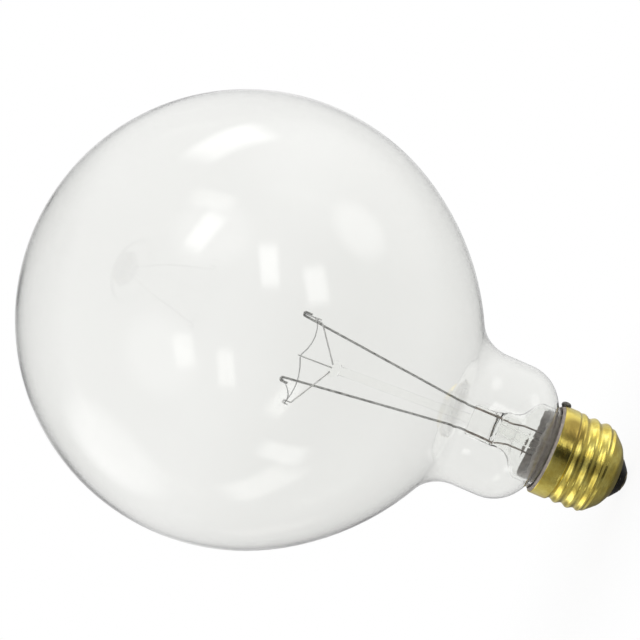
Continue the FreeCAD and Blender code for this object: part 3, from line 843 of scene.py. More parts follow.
@dataclass
class Stem:
    """The glass inside the neck: flare, tube, press, exhaust tube and arbor rod.

    Attributes:
        flare_radius: The flare's widest radius.
        flare_level: Where the flare's slope starts at that radius.
        flare_rise: How far the slope rises to the tube.
        flare_bend: The radius of the bend at the flare's outer edge.
        flare_fillet: The radius of the bend from the slope to the tube.
        tube_radius: The tube's radius.
        tube_level: Where the tube stops being round.
        wall: The glass's thickness.
        seal_level: The level of the flare's lower edge.
        press_level: The level of the press's top.
        press_across: How far the press lies off the axis, along X.
        press_half_width: Half the press's width.
        press_half_depth: Half its depth.
        cavity_level: The roof of the hollow under the press.
        dent_top: Where the press's dents end.
        dent_fades: The heights over which they grow from below and above.
        dent_depth: How deep they are, as a share of the press's depth.
        dent_widening: How much its sides wander, as a share of its width.
        button_across: How far the button lies off the axis, along X.
        button_level: The level of the button's middle.
        segments: Points in each ring of the stem.
        rod_segments: Points in each ring of the exhaust tube and the rod.
        exhaust_rows: The exhaust tube's section, as radii and levels.
        arbor_rows: The rod with its button, as radii and levels.
    """

    flare_radius: float = 11.25
    flare_level: float = 30.6
    flare_rise: float = 3.4
    flare_bend: float = 3.0
    flare_fillet: float = 5.0
    tube_radius: float = 5.25
    tube_level: float = 37.3
    wall: float = 0.9
    seal_level: float = 21.0
    press_level: float = 47.4
    press_across: float = -0.8
    press_half_width: float = 4.5
    press_half_depth: float = 1.6
    cavity_level: float = 38.9
    dent_top: float = 48.1
    dent_fades: tuple[float, float] = (3.0, 0.8)
    dent_depth: float = 0.16
    dent_widening: float = 0.01
    button_across: float = -2.8
    button_level: float = 87.5
    segments: int = 64
    rod_segments: int = 40
    exhaust_rows: tuple[tuple[float, float], ...] = (
        (1.2, 38.85), (1.2, 14.0), (1.0, 12.6), (0.5, 11.4), (0.15, 10.8), (0.15, 10.0), (0.6, 10.1),
        (0.9, 10.6), (1.5, 12.2), (1.9, 14.2), (1.9, 38.85), (1.2, 38.85),
    )
    arbor_rows: tuple[tuple[float, float], ...] = (
        (0.6, 47.4), (1.5, 47.42), (1.5, 47.7), (1.38, 48.9), (1.3, 50.1), (1.27, 60.9), (1.3, 72.9),
        (1.28, 82.9), (1.3, 85.5), (1.55, 85.85), (2.05, 86.3), (2.42, 86.85), (2.58, 87.5), (2.45, 88.2),
        (2.0, 88.8), (1.3, 89.2), (0.5, 89.38),
    )

    def flare_rings(self) -> list[Ring]:
        """The stem's section, from the cavity's roof down its inside and up its outside."""
        bore = self.tube_radius - self.wall
        inner = [
            Ring(1.2, self.cavity_level, 0.8, self.press_across),
            Ring(3.2, self.cavity_level, 1.7, self.press_across),
            Ring(3.9, self.cavity_level - 0.5, 2.3, self.press_across * 0.8),
        ]
        slope = self.flare_rise / (self.flare_radius - self.tube_radius)
        drop = self.wall * (math.hypot(slope, 1.0) - slope)
        inner += rounded([
            (bore, self.tube_level),
            (bore, self.flare_level + self.flare_rise - drop, self.flare_fillet + self.wall),
            (self.flare_radius - self.wall, self.flare_level - drop, self.flare_bend - self.wall),
            (self.flare_radius - self.wall, self.seal_level),
        ])
        outer = rounded([
            (self.flare_radius, self.seal_level),
            (self.flare_radius, self.flare_level, self.flare_bend),
            (self.tube_radius, self.flare_level + self.flare_rise, self.flare_fillet),
            (self.tube_radius, self.tube_level),
        ])
        outer += [
            Ring(5.15, 38.0, 4.5, self.press_across * 0.25),
            Ring(4.95, 38.9, 3.35, self.press_across * 0.6),
            Ring(4.75, 40.4, 2.2, self.press_across * 0.85),
            Ring(4.6, 41.9, 1.65, self.press_across),
            Ring(self.press_half_width, 42.9, self.press_half_depth, self.press_across),
            Ring(self.press_half_width, 44.9, self.press_half_depth, self.press_across),
            Ring(self.press_half_width, 46.8, self.press_half_depth, self.press_across),
            Ring(4.38, 47.2, 1.45, self.press_across),
            Ring(4.1, self.press_level, 1.15, self.press_across),
            Ring(2.2, self.press_level, 0.55, self.press_across),
        ]
        return inner + outer

    def build_flare(self, finishes: Finishes) -> bpy.types.Object:
        """Makes the flare, tube and press as one glass piece.

        Args:
            finishes: The bulb's materials.

        Returns:
            The finished piece.
        """
        piece = loft("stem_glass", self.flare_rings(), self.segments, Ending.POLE, Ending.POLE)

        def pinch(place: Vector) -> Vector:
            """Dents the press as the jaws that flattened it do."""
            below, above = self.dent_fades
            share = ease((place.z - self.cavity_level) / below) * ease((self.dent_top - place.z) / above)
            bow = self.dent_depth * ripple(place, size=2.4, seed=3.0) * share
            widen = self.dent_widening * share * ripple(place, size=3.0, seed=8.0)
            return Vector((place.x * (1.0 + widen), place.y * (1.0 + bow), place.z))

        reshape(piece, pinch)
        return finished(piece, "stem_flare", finishes.stem_glass)

    def build_exhaust(self, finishes: Finishes) -> bpy.types.Object:
        """Makes the exhaust tube with its drawn, sealed tip.

        Args:
            finishes: The bulb's materials.

        Returns:
            The finished piece.
        """
        piece = loft("exhaust_glass", turned(self.exhaust_rows), self.rod_segments)
        return finished(piece, "exhaust_tube", finishes.stem_glass)

    def build_arbor(self, finishes: Finishes) -> bpy.types.Object:
        """Makes the leaning rod and the button at its top.

        Args:
            finishes: The bulb's materials.

        Returns:
            The finished piece.
        """
        lean = (self.button_across - self.press_across) / (self.button_level - self.press_level)
        rings = [
            Ring(radius, level, None, self.press_across + (level - self.press_level) * lean)
            for radius, level in self.arbor_rows
        ]
        piece = loft("arbor_glass", rings, self.rod_segments, Ending.POLE, Ending.POLE)
        return finished(piece, "arbor_rod", finishes.stem_glass, angle=60.0)


@dataclass
class ScrewCap:
    """The brass shell with the insulator, contact, solder and cement in it.

    Attributes:
        wall: The brass sheet's thickness.
        skirt_radius: The plain skirt's radius.
        rim_level: The level of the rim.
        rim_round: How far the rim's edge is drawn in and down.
        skirt_level: Where the thread has run out into the skirt.
        thread_low: Where the thread begins.
        lip: The shell's lower edge, as its distance from the axis and level.
        waist: The dished end's bend, as its place and radius.
        corner: The corner under the thread, as its place and radius.
        crest_radius: The radius over the thread's crests.
        root_radius: The radius at its roots.
        pitch: The thread's rise in a turn.
        fade: The height over which the thread grows at either end.
        step: How far the wall under the thread lies inside its roots.
        phase: The thread's turn about the axis, in degrees.
        segments: Points in each ring of the shell.
        thread_rings: Steps over the thread's height.
        skirt_levels: The levels of the skirt's rings.
        insulator_corners: The black end's section, with bends where it has them.
        contact_rows: The centre contact's section.
        tip_rows: The section of the solder that closes it.
        tip_round: The radius within which that solder stays round.
        tip_wander: How far its edge draws in, as a share.
        bead_middle: The middle of the bead on the rim.
        bead_half: Its half sizes along X, Y and Z.
        bead_share: How much of those sizes it has.
        bead_lumps: How much its lumps add or take.
        cement_rows: The cement's section.
        cement_ring: The radius outside which its edge is plain.
        crumble_level: Where the ragged upper edge starts.
        crumble_height: The height over which it becomes ragged.
        crumble_around: The radius at which its lumps are read.
        coarse_lumps: The depth and width of its large breaks.
        fine_lumps: The depth and width of its small ones.
        low_side: How much lower the edge is by the shell's lead.
        low_angle: The direction of that side, in radians from +X.
    """

    wall: float = 0.3
    skirt_radius: float = 13.1
    rim_level: float = 24.0
    rim_round: tuple[float, float] = (0.04, 0.12)
    skirt_level: float = 19.8
    thread_low: float = 8.6
    lip: tuple[float, float] = (6.2, 3.3)
    waist: tuple[float, float, float] = (9.05, 4.85, 6.0)
    corner: tuple[float, float, float] = (12.2, 8.35, 0.5)
    crest_radius: float = 13.05
    root_radius: float = 12.3
    pitch: float = 3.63
    fade: float = 1.5
    step: float = 0.05
    phase: float = 10.0
    segments: int = 144
    thread_rings: int = 96
    skirt_levels: tuple[float, ...] = (20.3, 21.1, 22.0, 22.9, 23.5)
    insulator_corners: tuple[tuple[float, ...], ...] = (
        (0.92, 1.21), (3.0, 1.21), (3.02, 0.95), (3.5, 0.95, 0.4), (5.85, 2.9, 0.8), (5.85, 3.35),
        (6.0, 3.6), (8.8, 5.12), (9.05, 5.4), (0.92, 5.4), (0.92, 1.21),
    )
    contact_rows: tuple[tuple[float, float], ...] = (
        (0.9, 1.2), (0.9, 0.55), (1.0, 0.51), (2.7, 0.5), (2.9, 0.55), (2.98, 0.68), (2.98, 1.2), (0.9, 1.2),
    )
    tip_rows: tuple[tuple[float, float], ...] = (
        (0.4, 0.0), (1.0, 0.0), (1.4, 0.05), (1.85, 0.17), (2.25, 0.33), (2.45, 0.49), (0.88, 0.5),
        (0.88, 1.5), (0.3, 1.5),
    )
    tip_round: float = 1.2
    tip_wander: float = 0.1
    bead_middle: Point = (13.1, 0.0, 23.65)
    bead_half: Point = (1.2, 1.6, 1.5)
    bead_share: float = 0.93
    bead_lumps: float = 0.12
    cement_rows: tuple[tuple[float, float], ...] = (
        (9.15, 19.2), (12.33, 19.2), (12.6, 19.8), (12.78, 19.9), (12.78, 23.0), (12.78, 23.9),
        (12.76, 24.05), (12.62, 24.28), (12.42, 24.54), (12.2, 24.68), (12.02, 24.66), (11.96, 24.4),
        (11.92, 24.0), (11.88, 23.4), (11.88, 20.98), (10.33, 20.98), (10.33, 22.5), (10.33, 24.5),
        (10.33, 25.9), (10.33, 26.5), (10.33, 27.1), (10.33, 27.7), (10.33, 28.25), (10.25, 28.62),
        (9.75, 28.68), (9.3, 28.4), (9.15, 27.6), (9.15, 24.0), (9.15, 19.2),
    )
    cement_ring: float = 11.0
    crumble_level: float = 25.2
    crumble_height: float = 3.0
    crumble_around: float = 10.0
    coarse_lumps: tuple[float, float] = (0.75, 2.2)
    fine_lumps: tuple[float, float] = (0.5, 0.9)
    low_side: float = 0.9
    low_angle: float = 0.3

    def thread_radius(self, angle: float, level: float) -> float:
        """The outside radius of the rolled thread.

        Args:
            angle: The angle about the axis, in radians from +X.
            level: The height above the origin.

        Returns:
            The radius in millimetres.
        """
        mean = (self.crest_radius + self.root_radius) / 2
        swing = (self.crest_radius - self.root_radius) / 2
        wave = mean + swing * math.cos(2 * math.pi * level / self.pitch - angle + math.radians(self.phase))
        start = ease((level - self.thread_low) / self.fade)
        radius = self.root_radius - self.step + (wave - self.root_radius + self.step) * start
        return self.skirt_radius + (radius - self.skirt_radius) * ease((self.skirt_level - level) / self.fade)

    def shell_rings(self) -> list[Ring]:
        """The shell's outside from its lip to its rim, with a plain wall for the thread."""
        rings = rounded([self.lip, self.waist, self.corner, (self.corner[0], self.thread_low)])[:-1]
        mean = (self.crest_radius + self.root_radius) / 2
        run = self.skirt_level - self.thread_low
        for step in range(self.thread_rings + 1):
            rings.append(Ring(mean, self.thread_low + run * step / self.thread_rings))
        rings += [Ring(self.skirt_radius, level) for level in self.skirt_levels]
        rings.append(Ring(self.skirt_radius, self.rim_level - self.rim_round[1]))
        rings.append(Ring(self.skirt_radius - self.rim_round[0], self.rim_level))
        return rings

    def build_shell(self, finishes: Finishes) -> bpy.types.Object:
        """Makes the shell.

        Args:
            finishes: The bulb's materials.

        Returns:
            The finished piece.
        """
        piece = loft("brass_shell", self.shell_rings(), self.segments)

        def roll(place: Vector) -> Vector:
            """Rolls the thread into the plain wall."""
            radius = math.hypot(place.x, place.y)
            if self.thread_low - SAME_LEVEL <= place.z <= self.skirt_level + SAME_LEVEL:
                share = self.thread_radius(math.atan2(place.y, place.x), place.z) / radius
                return Vector((place.x * share, place.y * share, place.z))
            return place

        reshape(piece, roll)
        add_wall(piece, self.wall)
        return finished(piece, "cap_shell", finishes.brass)

    def build_insulator(self, finishes: Finishes) -> bpy.types.Object:
        """Makes the black glass end.

        Args:
            finishes: The bulb's materials.

        Returns:
            The finished piece.
        """
        piece = loft("black_end", rounded(self.insulator_corners), segments=96)
        return finished(piece, "cap_insulator", finishes.black_glass)

    def build_contact(self, finishes: Finishes) -> bpy.types.Object:
        """Makes the stamped centre contact.

        Args:
            finishes: The bulb's materials.

        Returns:
            The finished piece.
        """
        piece = loft("contact_disc", turned(self.contact_rows), segments=72)
        return finished(piece, "centre_contact", finishes.contact_brass, angle=40.0)

    def build_tip_solder(self, finishes: Finishes) -> bpy.types.Object:
        """Makes the solder that closes the contact.

        Args:
            finishes: The bulb's materials.

        Returns:
            The finished piece.
        """
        piece = loft("contact_bead", turned(self.tip_rows), 64, start=Ending.POLE, end=Ending.POLE)

        def spread(place: Vector) -> Vector:
            """Lets the bead's edge wander as it does where solder ran."""
            radius = math.hypot(place.x, place.y)
            past = ease((radius - self.tip_round) / self.tip_round)
            share = 1.0 - self.tip_wander * past * (0.5 + 0.5 * ripple(place, size=1.3, seed=5.0))
            return Vector((place.x * share, place.y * share, place.z))

        reshape(piece, spread)
        return finished(piece, "contact_solder", finishes.tip_solder)

    def build_side_solder(self, finishes: Finishes) -> bpy.types.Object:
        """Makes the dark blob that joins a lead to the rim.

        Args:
            finishes: The bulb's materials.

        Returns:
            The finished piece.
        """
        bpy.ops.object.select_all(action="DESELECT")
        bpy.ops.mesh.primitive_ico_sphere_add(subdivisions=4, radius=METRE)
        piece = bpy.context.object
        piece.name = "rim_bead"

        def slump(place: Vector) -> Vector:
            """Lays the ball on the rim as a lumpy bead that hangs a little over its outside."""
            lumps = self.bead_share + self.bead_lumps * ripple(place, size=0.8, seed=11.0)
            half = Vector(self.bead_half)
            spot = Vector(self.bead_middle) + place * half * lumps
            under = self.rim_level - spot.z
            reach = math.hypot(spot.x, spot.y)
            if under > 0.0 and reach < self.skirt_radius:
                if under < self.skirt_radius - reach:
                    spot.z = self.rim_level
                else:
                    spot.x, spot.y = (side * self.skirt_radius / reach for side in (spot.x, spot.y))
            return spot

        reshape(piece, slump)
        return finished(piece, "side_solder", finishes.side_solder)

    def build_cement(self, finishes: Finishes) -> bpy.types.Object:
        """Makes the cement, with the ragged edge that shows through the flare.

        Args:
            finishes: The bulb's materials.

        Returns:
            The finished piece.
        """
        piece = loft("ragged_cement", turned(self.cement_rows), segments=160)

        def crumble(place: Vector) -> Vector:
            """Lowers and breaks the upper edge, most on the side of the shell's lead."""
            if math.hypot(place.x, place.y) > self.cement_ring:
                return place
            share = ease((place.z - self.crumble_level) / self.crumble_height)
            angle = math.atan2(place.y, place.x)
            around = Vector((math.cos(angle), math.sin(angle), 0.0)) * self.crumble_around
            depth, width = self.coarse_lumps
            lumps = depth * max(0.0, 0.3 + ripple(around, size=width, seed=2.0))
            depth, width = self.fine_lumps
            lumps += depth * max(0.0, ripple(around, size=width, seed=7.0))
            low = self.low_side * ease((math.cos(angle - self.low_angle) - 0.1) / 0.5)
            return Vector((place.x, place.y, place.z - share * (lumps + low)))

        reshape(piece, crumble)
        return finished(piece, "basing_cement", finishes.cement)


@dataclass
class Filament:
    """The coiled wire, from clamp to clamp over the three hooks.

    Attributes:
        coil_radius: From the coil's middle line to its wire's.
        wire_radius: The wire's radius.
        coil_pitch: How far the coil moves on in a turn.
        points_per_turn: Points of the wire in a turn.
        sag: How far a span would hang in its middle.
        sag_shares: Where along a span its points lie.
        tail: How far the coil reaches past a clamp's middle, either way.
        hook_half: How far out from a hook's middle the coil crosses it.
        crossing_half: Half the coil's straight run over a hook.
        button: The button's middle, from which the hooks point out.
        clamps: The middles of the leads' clamps.
        hooks: The hooks' middles.
    """

    coil_radius: float = 0.145
    wire_radius: float = 0.03
    coil_pitch: float = 0.15
    points_per_turn: int = 10
    sag: float = 1.302
    sag_shares: tuple[float, ...] = (0.2, 0.4, 0.6, 0.8)
    tail: float = 0.7
    hook_half: float = 0.45
    crossing_half: float = 0.45
    button: Point = (-2.8, 0.0, 87.5)
    clamps: tuple[Point, Point] = ((8.025, 0.0, 100.55), (-11.025, 0.0, 99.45))
    hooks: tuple[Point, ...] = ((7.5, -9.0, 97.9), (-3.0, -14.0, 98.9), (-16.0, -5.0, 96.9))

    def route(self) -> list[Vector]:
        """The coil's middle line, as points of straight spans and sags."""
        start, end = (Vector(clamp) for clamp in self.clamps)
        tail = Vector((0.0, self.tail, 0.0))
        crossings = [(start + tail, start - tail)]
        for hook in self.hooks:
            out = Vector((hook[0] - self.button[0], hook[1] - self.button[1], 0.0)).normalized()
            middle = Vector(hook) + out * self.hook_half
            side = Vector((-out.y, out.x, 0.0)) * self.crossing_half
            crossings.append((middle + side, middle - side))
        crossings.append((end - tail, end + tail))
        points = [crossings[0][0]]
        for (_, before), (after, _) in zip(crossings, crossings[1:]):
            points.append(before)
            for share in self.sag_shares:
                drop = Vector((0.0, 0.0, -self.sag * 4.0 * share * (1.0 - share)))
                points.append(before.lerp(after, share) + drop)
            points.append(after)
        points.append(crossings[-1][1])
        return points

    def coil(self) -> list[Vector]:
        """Points of the coil wound about the middle line."""
        route = self.route()
        spots: list[Vector] = []
        side = Vector((0.0, 0.0, 1.0))
        travelled = 0.0
        step = self.coil_pitch / self.points_per_turn
        carried = 0.0
        for before, after in zip(route, route[1:]):
            along = (after - before).normalized()
            side = (side - along * side.dot(along)).normalized()
            other = along.cross(side)
            length = (after - before).length
            place = carried
            while place < length:
                angle = 2 * math.pi * (travelled + place) / self.coil_pitch
                spot = before + along * place
                spots.append(spot + (side * math.cos(angle) + other * math.sin(angle)) * self.coil_radius)
                place += step
            carried = place - length
            travelled += length
        return spots

    def build(self, finishes: Finishes) -> bpy.types.Object:
        """Makes the coil.

        Args:
            finishes: The bulb's materials.

        Returns:
            The finished piece.
        """
        spots = self.coil()
        curve = bpy.data.curves.new("filament_coil", "CURVE")
        curve.dimensions = "3D"
        curve.bevel_depth = self.wire_radius * METRE
        curve.bevel_resolution = 0
        curve.use_fill_caps = True
        spline = curve.splines.new("POLY")
        spline.points.add(len(spots) - 1)
        for point, spot in zip(spline.points, spots):
            point.co = (*(spot * METRE), 1.0)
        piece = bpy.data.objects.new("filament_coil", curve)
        bpy.context.scene.collection.objects.link(piece)
        select_only(piece)
        bpy.ops.object.convert(target="MESH")
        piece = bpy.context.object
        bpy.ops.object.shade_smooth()
        dress(piece, finishes.tungsten)
        seat(piece, "filament")
        return piece


@dataclass
class Wiring:
    """The wires whose solids are shown as they are.

    Attributes:
        nodes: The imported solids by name.
        inner: The lead wires above the press.
        sealed: The wires in the press and under it.
        supports: The wires from the button to the hooks.
    """

    nodes: dict[str, bpy.types.Object]
    inner: tuple[str, ...] = ("inner_lead_a", "inner_lead_b")
    sealed: tuple[str, ...] = ("dumet_seal_a", "dumet_seal_b", "outer_lead_shell", "outer_lead_contact")
    supports: tuple[str, ...] = ("support_wire_1", "support_wire_2", "support_wire_3")

    def dress(self, finishes: Finishes) -> None:
        """Gives each wire its metal.

        Args:
            finishes: The bulb's materials.
        """
        for names, material in (
            (self.inner, finishes.nickel),
            (self.sealed, finishes.copper),
            (self.supports, finishes.support),
        ):
            for name in names:
                dress(self.nodes[name], material)
                LOG.info("dressed %s in %s", name, material.name)


# The studio


@dataclass(frozen=True)
class Softbox:
    """A lit panel, placed by where the globe shows its reflection.

    Attributes:
        name: Its name.
        spot: The reflection's place from the globe's middle, to the right and
            down, as a share of the globe's radius.
        width: Its width in metres.
        height: Its height in metres.
        radiance: Its brightness, where 1 is the white of the surround.
        roll: Its turn about the line to the globe, in degrees.
        distance: How far it stands from the globe, in metres.
    """

    name: str
    spot: tuple[float, float]
    width: float
    height: float
    radiance: float
    roll: float = 0.0
    distance: float = 1.2


@dataclass(frozen=True)
class Glow:
    """A soft patch of the room that only glossy things show.

    Attributes:
        axis: Its middle, in the camera's right, up and back.
        edge: The angle from its middle at which it begins, in degrees.
        full: The angle within which it is full.
        gain: What it adds to the room's brightness.
    """

    axis: Point
    edge: float
    full: float
    gain: float


def mirrored(spot: tuple[float, float]) -> Vector:
    """The direction that the globe's front shows at a spot.

    Args:
        spot: The spot from the globe's middle, to the right and down, as a
            share of its radius.

    Returns:
        The direction in the camera's right, up and back.
    """
    reach = math.hypot(*spot)
    turn = 2.0 * math.asin(reach)
    return Vector((spot[0] / reach * math.sin(turn), -spot[1] / reach * math.sin(turn), math.cos(turn)))


def seen_as_backdrop(tree: bpy.types.NodeTree, rays: bpy.types.Node) -> bpy.types.NodeSocket:
    """1 where the eye sees a surface, straight or through glass, and else 0.

    Args:
        tree: The nodes that it is added to.
        rays: Their Light Path node.

    Returns:
        The value.
    """
    seen = tree.nodes.new("ShaderNodeMath")
    seen.operation = "MAXIMUM"
    tree.links.new(rays.outputs["Is Camera Ray"], seen.inputs[0])
    tree.links.new(rays.outputs["Is Transmission Ray"], seen.inputs[1])
    return seen.outputs[0]


def mixed(
    tree: bpy.types.NodeTree,
    share: bpy.types.NodeSocket,
    first: bpy.types.NodeSocket,
    second: bpy.types.NodeSocket,
) -> bpy.types.NodeSocket:
    """Mixes two shaders.

    Args:
        tree: The nodes that the mix is added to.
        share: How much of the second there is.
        first: The first shader.
        second: The second shader.

    Returns:
        The mixed shader.
    """
    blend = tree.nodes.new("ShaderNodeMixShader")
    tree.links.new(share, blend.inputs["Fac"])
    tree.links.new(first, blend.inputs[1])
    tree.links.new(second, blend.inputs[2])
    return blend.outputs["Shader"]


@dataclass
class Studio:
    """The camera, lights, world and floor about the bulb.

    Attributes:
        globe_level: The level of the globe's middle in metres.
        tilt: How far the camera looks down on the bulb, in degrees.
        roll: How far the bulb's axis turns from level in the picture.
        distance: How far the camera stands from the axis, in metres.
        focal_pixels: Its focal length in the picture's pixels.
        frame_pixels: The picture's width in pixels.
        sensor: The camera's sensor in millimetres.
        aside: How far the camera stands to the right of the globe's middle.
        floor_radius: The floor's radius in metres.
        floor_shade: How much of the backdrop's white it has under the cap.
        floor_fade: Where that shade ends, from and to, in metres.
        room_light: How bright the room lights dull surfaces.
        panel_fade: The share of a panel's side over which it fades.
        bounces: How often light may pass through or off the glass.
        softboxes: The lit panels.
        glows: The soft patches of the room that gloss shows.
    """

    globe_level: float = 0.1152
    tilt: float = 6.0
    roll: float = 23.2
    distance: float = 1.0
    focal_pixels: float = 3630.0
    frame_pixels: float = 640.0
    sensor: float = 36.0
    aside: float = 0.02034
    floor_radius: float = 0.4
    floor_shade: float = 0.92
    floor_fade: tuple[float, float] = (0.02, 0.1)
    room_light: float = 0.85
    panel_fade: float = 0.3
    bounces: int = 24
    softboxes: tuple[Softbox, ...] = (
        Softbox("key_panel", (0.104, -0.225), 0.25, 0.58, 1.35, 0.0),
        Softbox("side_panel", (0.299, -0.143), 0.32, 0.50, 1.2, 4.0),
        Softbox("high_panel", (-0.165, -0.364), 0.29, 0.58, 1.2, -24.0),
        Softbox("top_panel", (-0.078, -0.749), 0.8, 0.42, 1.0, 0.0),
        Softbox("low_panel", (0.155, 0.554), 0.58, 0.28, 0.9, 0.0),
    )
    glows: tuple[Glow, ...] = (
        Glow((0.0, 0.0, -1.0), 165.0, 125.0, 0.08),
        Glow((-0.914, 0.392, 0.104), 102.0, 60.0, 0.16),
        Glow((0.392, 0.915, -0.087), 80.0, 64.0, 0.2),
        Glow((-0.392, -0.915, 0.087), 80.0, 64.0, 0.1),
        Glow((0.0, 0.0, -1.0), 125.0, 70.0, 0.36),
        Glow((0.0, 0.0, -1.0), 20.0, 10.0, 0.34),
        Glow((-0.7, 0.0, -0.7), 42.0, 14.0, -0.5),
        Glow((0.6, -0.3, -0.72), 48.0, 22.0, -0.32),
        Glow((-0.66, -0.27, 0.70), 24.0, 8.0, 0.9),
        Glow((-0.256, 0.664, 0.70), 22.0, 8.0, 0.9),
        Glow((-0.05, -0.65, 0.77), 34.0, 14.0, 0.12),
        Glow(tuple(mirrored((0.485, -0.385))), 16.0, 4.0, 1.5),
        Glow(tuple(mirrored((0.43, -0.58))), 46.0, 16.0, 0.6),
        Glow(tuple(mirrored((-0.576, 0.55))), 24.0, 8.0, 1.1),
    )

    def axes(self) -> tuple[Vector, Vector, Vector]:
        """The camera's right, up and back in the bulb's frame."""
        tilt = math.radians(self.tilt)
        roll = math.radians(self.roll)
        right = Vector((math.sin(roll), -math.cos(roll) * math.sin(tilt), -math.cos(roll) * math.cos(tilt)))
        up = Vector((math.cos(roll), math.sin(roll) * math.sin(tilt), math.sin(roll) * math.cos(tilt)))
        back = Vector((0.0, -math.cos(tilt), math.sin(tilt)))
        return right, up, back

    def towards(self, seen: Sequence[float]) -> Vector:
        """A direction in the bulb's frame from its camera right, up and back."""
        right, up, back = self.axes()
        return (right * seen[0] + up * seen[1] + back * seen[2]).normalized()

    def build_camera(self) -> None:
        """Sets the camera at the photograph's view."""
        right, up, back = self.axes()
        globe = Vector((0.0, 0.0, self.globe_level))
        data = bpy.data.cameras.new("view")
        data.sensor_width = self.sensor
        data.lens = self.focal_pixels / self.frame_pixels * self.sensor
        data.clip_start = 0.05
        camera = bpy.data.objects.new("view", data)
        bpy.context.scene.collection.objects.link(camera)
        place = Matrix.Translation(globe + right * self.aside + back * self.distance)
        camera.matrix_world = place @ Matrix((right, up, back)).transposed().to_4x4()
        bpy.context.scene.camera = camera

    def build_lights(self) -> None:
        """Sets the softboxes about the globe."""
        up = self.axes()[1]
        globe = Vector((0.0, 0.0, self.globe_level))
        for box in self.softboxes:
            towards = self.towards(mirrored(box.spot))
            data = bpy.data.lights.new(box.name, "AREA")
            data.shape = "RECTANGLE"
            data.size = box.width
            data.size_y = box.height
            data.energy = box.radiance * WATTS_PER_AREA * box.width * box.height
            self.soften(data)
            lamp = bpy.data.objects.new(box.name, data)
            bpy.context.scene.collection.objects.link(lamp)
            side = up.cross(towards).normalized()
            top = towards.cross(side)
            place = Matrix.Translation(globe + towards * box.distance)
            turn = Matrix((side, top, towards)).transposed().to_4x4()
            lamp.matrix_world = place @ turn @ Matrix.Rotation(math.radians(box.roll), 4, "Z")

    def soften(self, lamp: bpy.types.AreaLight) -> None:
        """Lets a panel fade towards its edges, as cloth over a lamp does.

        Args:
            lamp: The panel.
        """
        lamp.use_nodes = True
        tree = lamp.node_tree
        across = tree.nodes.new("ShaderNodeNewGeometry")
        sides = tree.nodes.new("ShaderNodeSeparateXYZ")
        tree.links.new(across.outputs["Parametric"], sides.inputs["Vector"])
        fades = []
        for side in ("X", "Y"):
            away = tree.nodes.new("ShaderNodeMath")
            away.operation = "PINGPONG"
            away.inputs[1].default_value = 0.5
            tree.links.new(sides.outputs[side], away.inputs[0])
            fade = tree.nodes.new("ShaderNodeMapRange")
            fade.interpolation_type = "SMOOTHSTEP"
            fade.inputs["From Max"].default_value = self.panel_fade
            tree.links.new(away.outputs[0], fade.inputs["Value"])
            fades.append(fade.outputs["Result"])
        both = tree.nodes.new("ShaderNodeMath")
        both.operation = "MULTIPLY"
        tree.links.new(fades[0], both.inputs[0])
        tree.links.new(fades[1], both.inputs[1])
        tree.links.new(both.outputs[0], tree.nodes["Emission"].inputs["Strength"])

    def build_world(self) -> None:
        """Sets a white backdrop, with a plain room for the light and a dimmer front for gloss."""
        world = bpy.data.worlds.new("surround")
        bpy.context.scene.world = world
        world.use_nodes = True
        tree = world.node_tree
        tree.nodes.clear()
        output = tree.nodes.new("ShaderNodeOutputWorld")
        rays = tree.nodes.new("ShaderNodeLightPath")
        backdrop, room, gloss = (tree.nodes.new("ShaderNodeBackground") for _ in range(3))
        for light in (backdrop, room, gloss):
            light.inputs["Color"].default_value = WHITE
        room.inputs["Strength"].default_value = self.room_light
        tree.links.new(self.room_seen_by_gloss(tree), gloss.inputs["Strength"])
        seen = seen_as_backdrop(tree, rays)
        lit = mixed(tree, rays.outputs["Is Glossy Ray"], room.outputs[0], gloss.outputs[0])
        tree.links.new(mixed(tree, seen, lit, backdrop.outputs[0]), output.inputs["Surface"])

    def room_seen_by_gloss(self, tree: bpy.types.NodeTree) -> bpy.types.NodeSocket:
        """The room's brightness in each direction, as the sum of its glows.

        Args:
            tree: The world's nodes.

        Returns:
            The brightness.
        """
        coordinates = tree.nodes.new("ShaderNodeTexCoord")
        total = None
        for glow in self.glows:
            share = tree.nodes.new("ShaderNodeVectorMath")
            share.operation = "DOT_PRODUCT"
            share.inputs[1].default_value = self.towards(glow.axis)
            tree.links.new(coordinates.outputs["Generated"], share.inputs[0])
            patch = tree.nodes.new("ShaderNodeMapRange")
            patch.interpolation_type = "SMOOTHSTEP"
            patch.inputs["From Min"].default_value = math.cos(math.radians(glow.edge))
            patch.inputs["From Max"].default_value = math.cos(math.radians(glow.full))
            patch.inputs["To Min"].default_value = 0.0
            patch.inputs["To Max"].default_value = glow.gain
            tree.links.new(share.outputs["Value"], patch.inputs["Value"])
            if total is None:
                total = patch.outputs["Result"]
                continue
            addition = tree.nodes.new("ShaderNodeMath")
            addition.operation = "ADD"
            tree.links.new(total, addition.inputs[0])
            tree.links.new(patch.outputs["Result"], addition.inputs[1])
            total = addition.outputs[0]
        return total

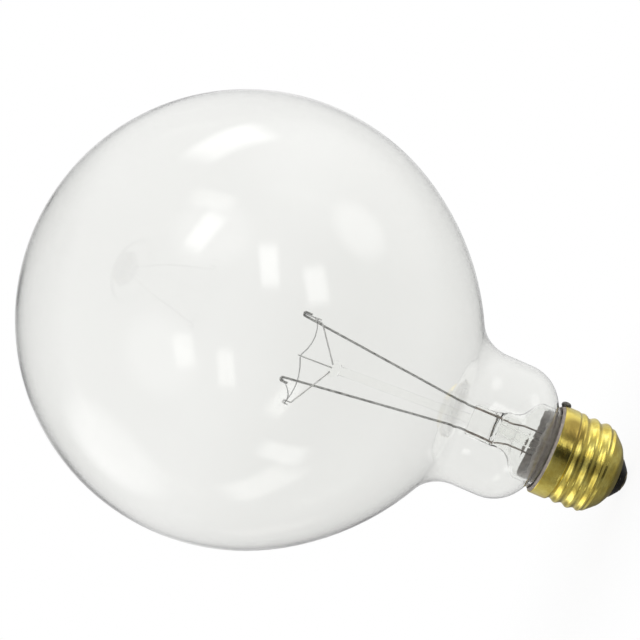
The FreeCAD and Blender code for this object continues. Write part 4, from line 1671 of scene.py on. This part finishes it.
    def build_floor(self) -> None:
        """Lays the plain white floor under the cap, which reflections don't show."""
        bpy.ops.object.select_all(action="DESELECT")
        bpy.ops.mesh.primitive_circle_add(vertices=128, radius=self.floor_radius, fill_type="NGON")
        floor = bpy.context.object
        floor.name = "floor"
        shader = Shader("floor_white")
        shader.set(Base_Color=(0.9, 0.9, 0.9, 1.0), Roughness=0.9)
        rays = shader.add("ShaderNodeLightPath")
        glow = shader.add("ShaderNodeEmission", Color=WHITE, Strength=1.0)
        clear = shader.add("ShaderNodeBsdfTransparent")
        reach = shader.add("ShaderNodeVectorMath")
        reach.operation = "LENGTH"
        shader.join(shader.place(), reach.inputs[0])
        fade = shader.add("ShaderNodeMapRange")
        fade.inputs["From Min"].default_value = self.floor_fade[0]
        fade.inputs["From Max"].default_value = self.floor_fade[1]
        fade.inputs["To Min"].default_value = self.floor_shade
        fade.inputs["To Max"].default_value = 1.0
        shader.join(reach.outputs["Value"], fade.inputs["Value"])
        share = shader.add("ShaderNodeMath")
        share.operation = "MULTIPLY"
        shader.join(seen_as_backdrop(shader.tree, rays), share.inputs[0])
        shader.join(fade.outputs["Result"], share.inputs[1])
        plain = mixed(shader.tree, share.outputs[0], shader.surface.outputs["BSDF"], glow.outputs[0])
        whole = mixed(shader.tree, rays.outputs["Is Glossy Ray"], plain, clear.outputs["BSDF"])
        shader.join(whole, shader.tree.nodes["Material Output"].inputs["Surface"])
        dress(floor, shader.material)

    def build(self) -> None:
        """Sets the camera, lights, world and floor."""
        self.build_camera()
        self.build_lights()
        self.build_world()
        self.build_floor()
        bpy.context.scene.view_settings.view_transform = "Standard"
        bpy.context.scene.cycles.max_bounces = self.bounces
        bpy.context.scene.cycles.transmission_bounces = self.bounces


@dataclass
class GlobeBulb:
    """The whole bulb.

    Attributes:
        nodes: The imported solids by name.
        envelope: Its blown glass.
        stem: The glass inside it.
        cap: The screw cap and what it holds.
        filament: The coiled wire.
    """

    nodes: dict[str, bpy.types.Object]
    envelope: Envelope = field(default_factory=Envelope)
    stem: Stem = field(default_factory=Stem)
    cap: ScrewCap = field(default_factory=ScrewCap)
    filament: Filament = field(default_factory=Filament)

    def build(self) -> None:
        """Builds and dresses each piece in order."""
        finishes = Finishes.make()
        for make in (
            self.envelope.build,
            self.stem.build_flare,
            self.stem.build_exhaust,
            self.stem.build_arbor,
            self.cap.build_shell,
            self.cap.build_insulator,
            self.cap.build_contact,
            self.cap.build_tip_solder,
            self.cap.build_side_solder,
            self.cap.build_cement,
            self.filament.build,
        ):
            piece = make(finishes)
            LOG.info("built %s with %d faces", piece.name, len(piece.data.polygons))
        Wiring(self.nodes).dress(finishes)


def corners(box: Sequence[Sequence[float]]) -> list[list[float]]:
    """A box's two corners as plain lists."""
    return [[float(value) for value in corner] for corner in box]


def main() -> None:
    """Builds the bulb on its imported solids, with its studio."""
    logging.basicConfig(level=logging.INFO, format="%(name)s: %(message)s")
    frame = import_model()
    Studio().build()
    GlobeBulb(frame["nodes"]).build()


if __name__ == "__main__":
    main()
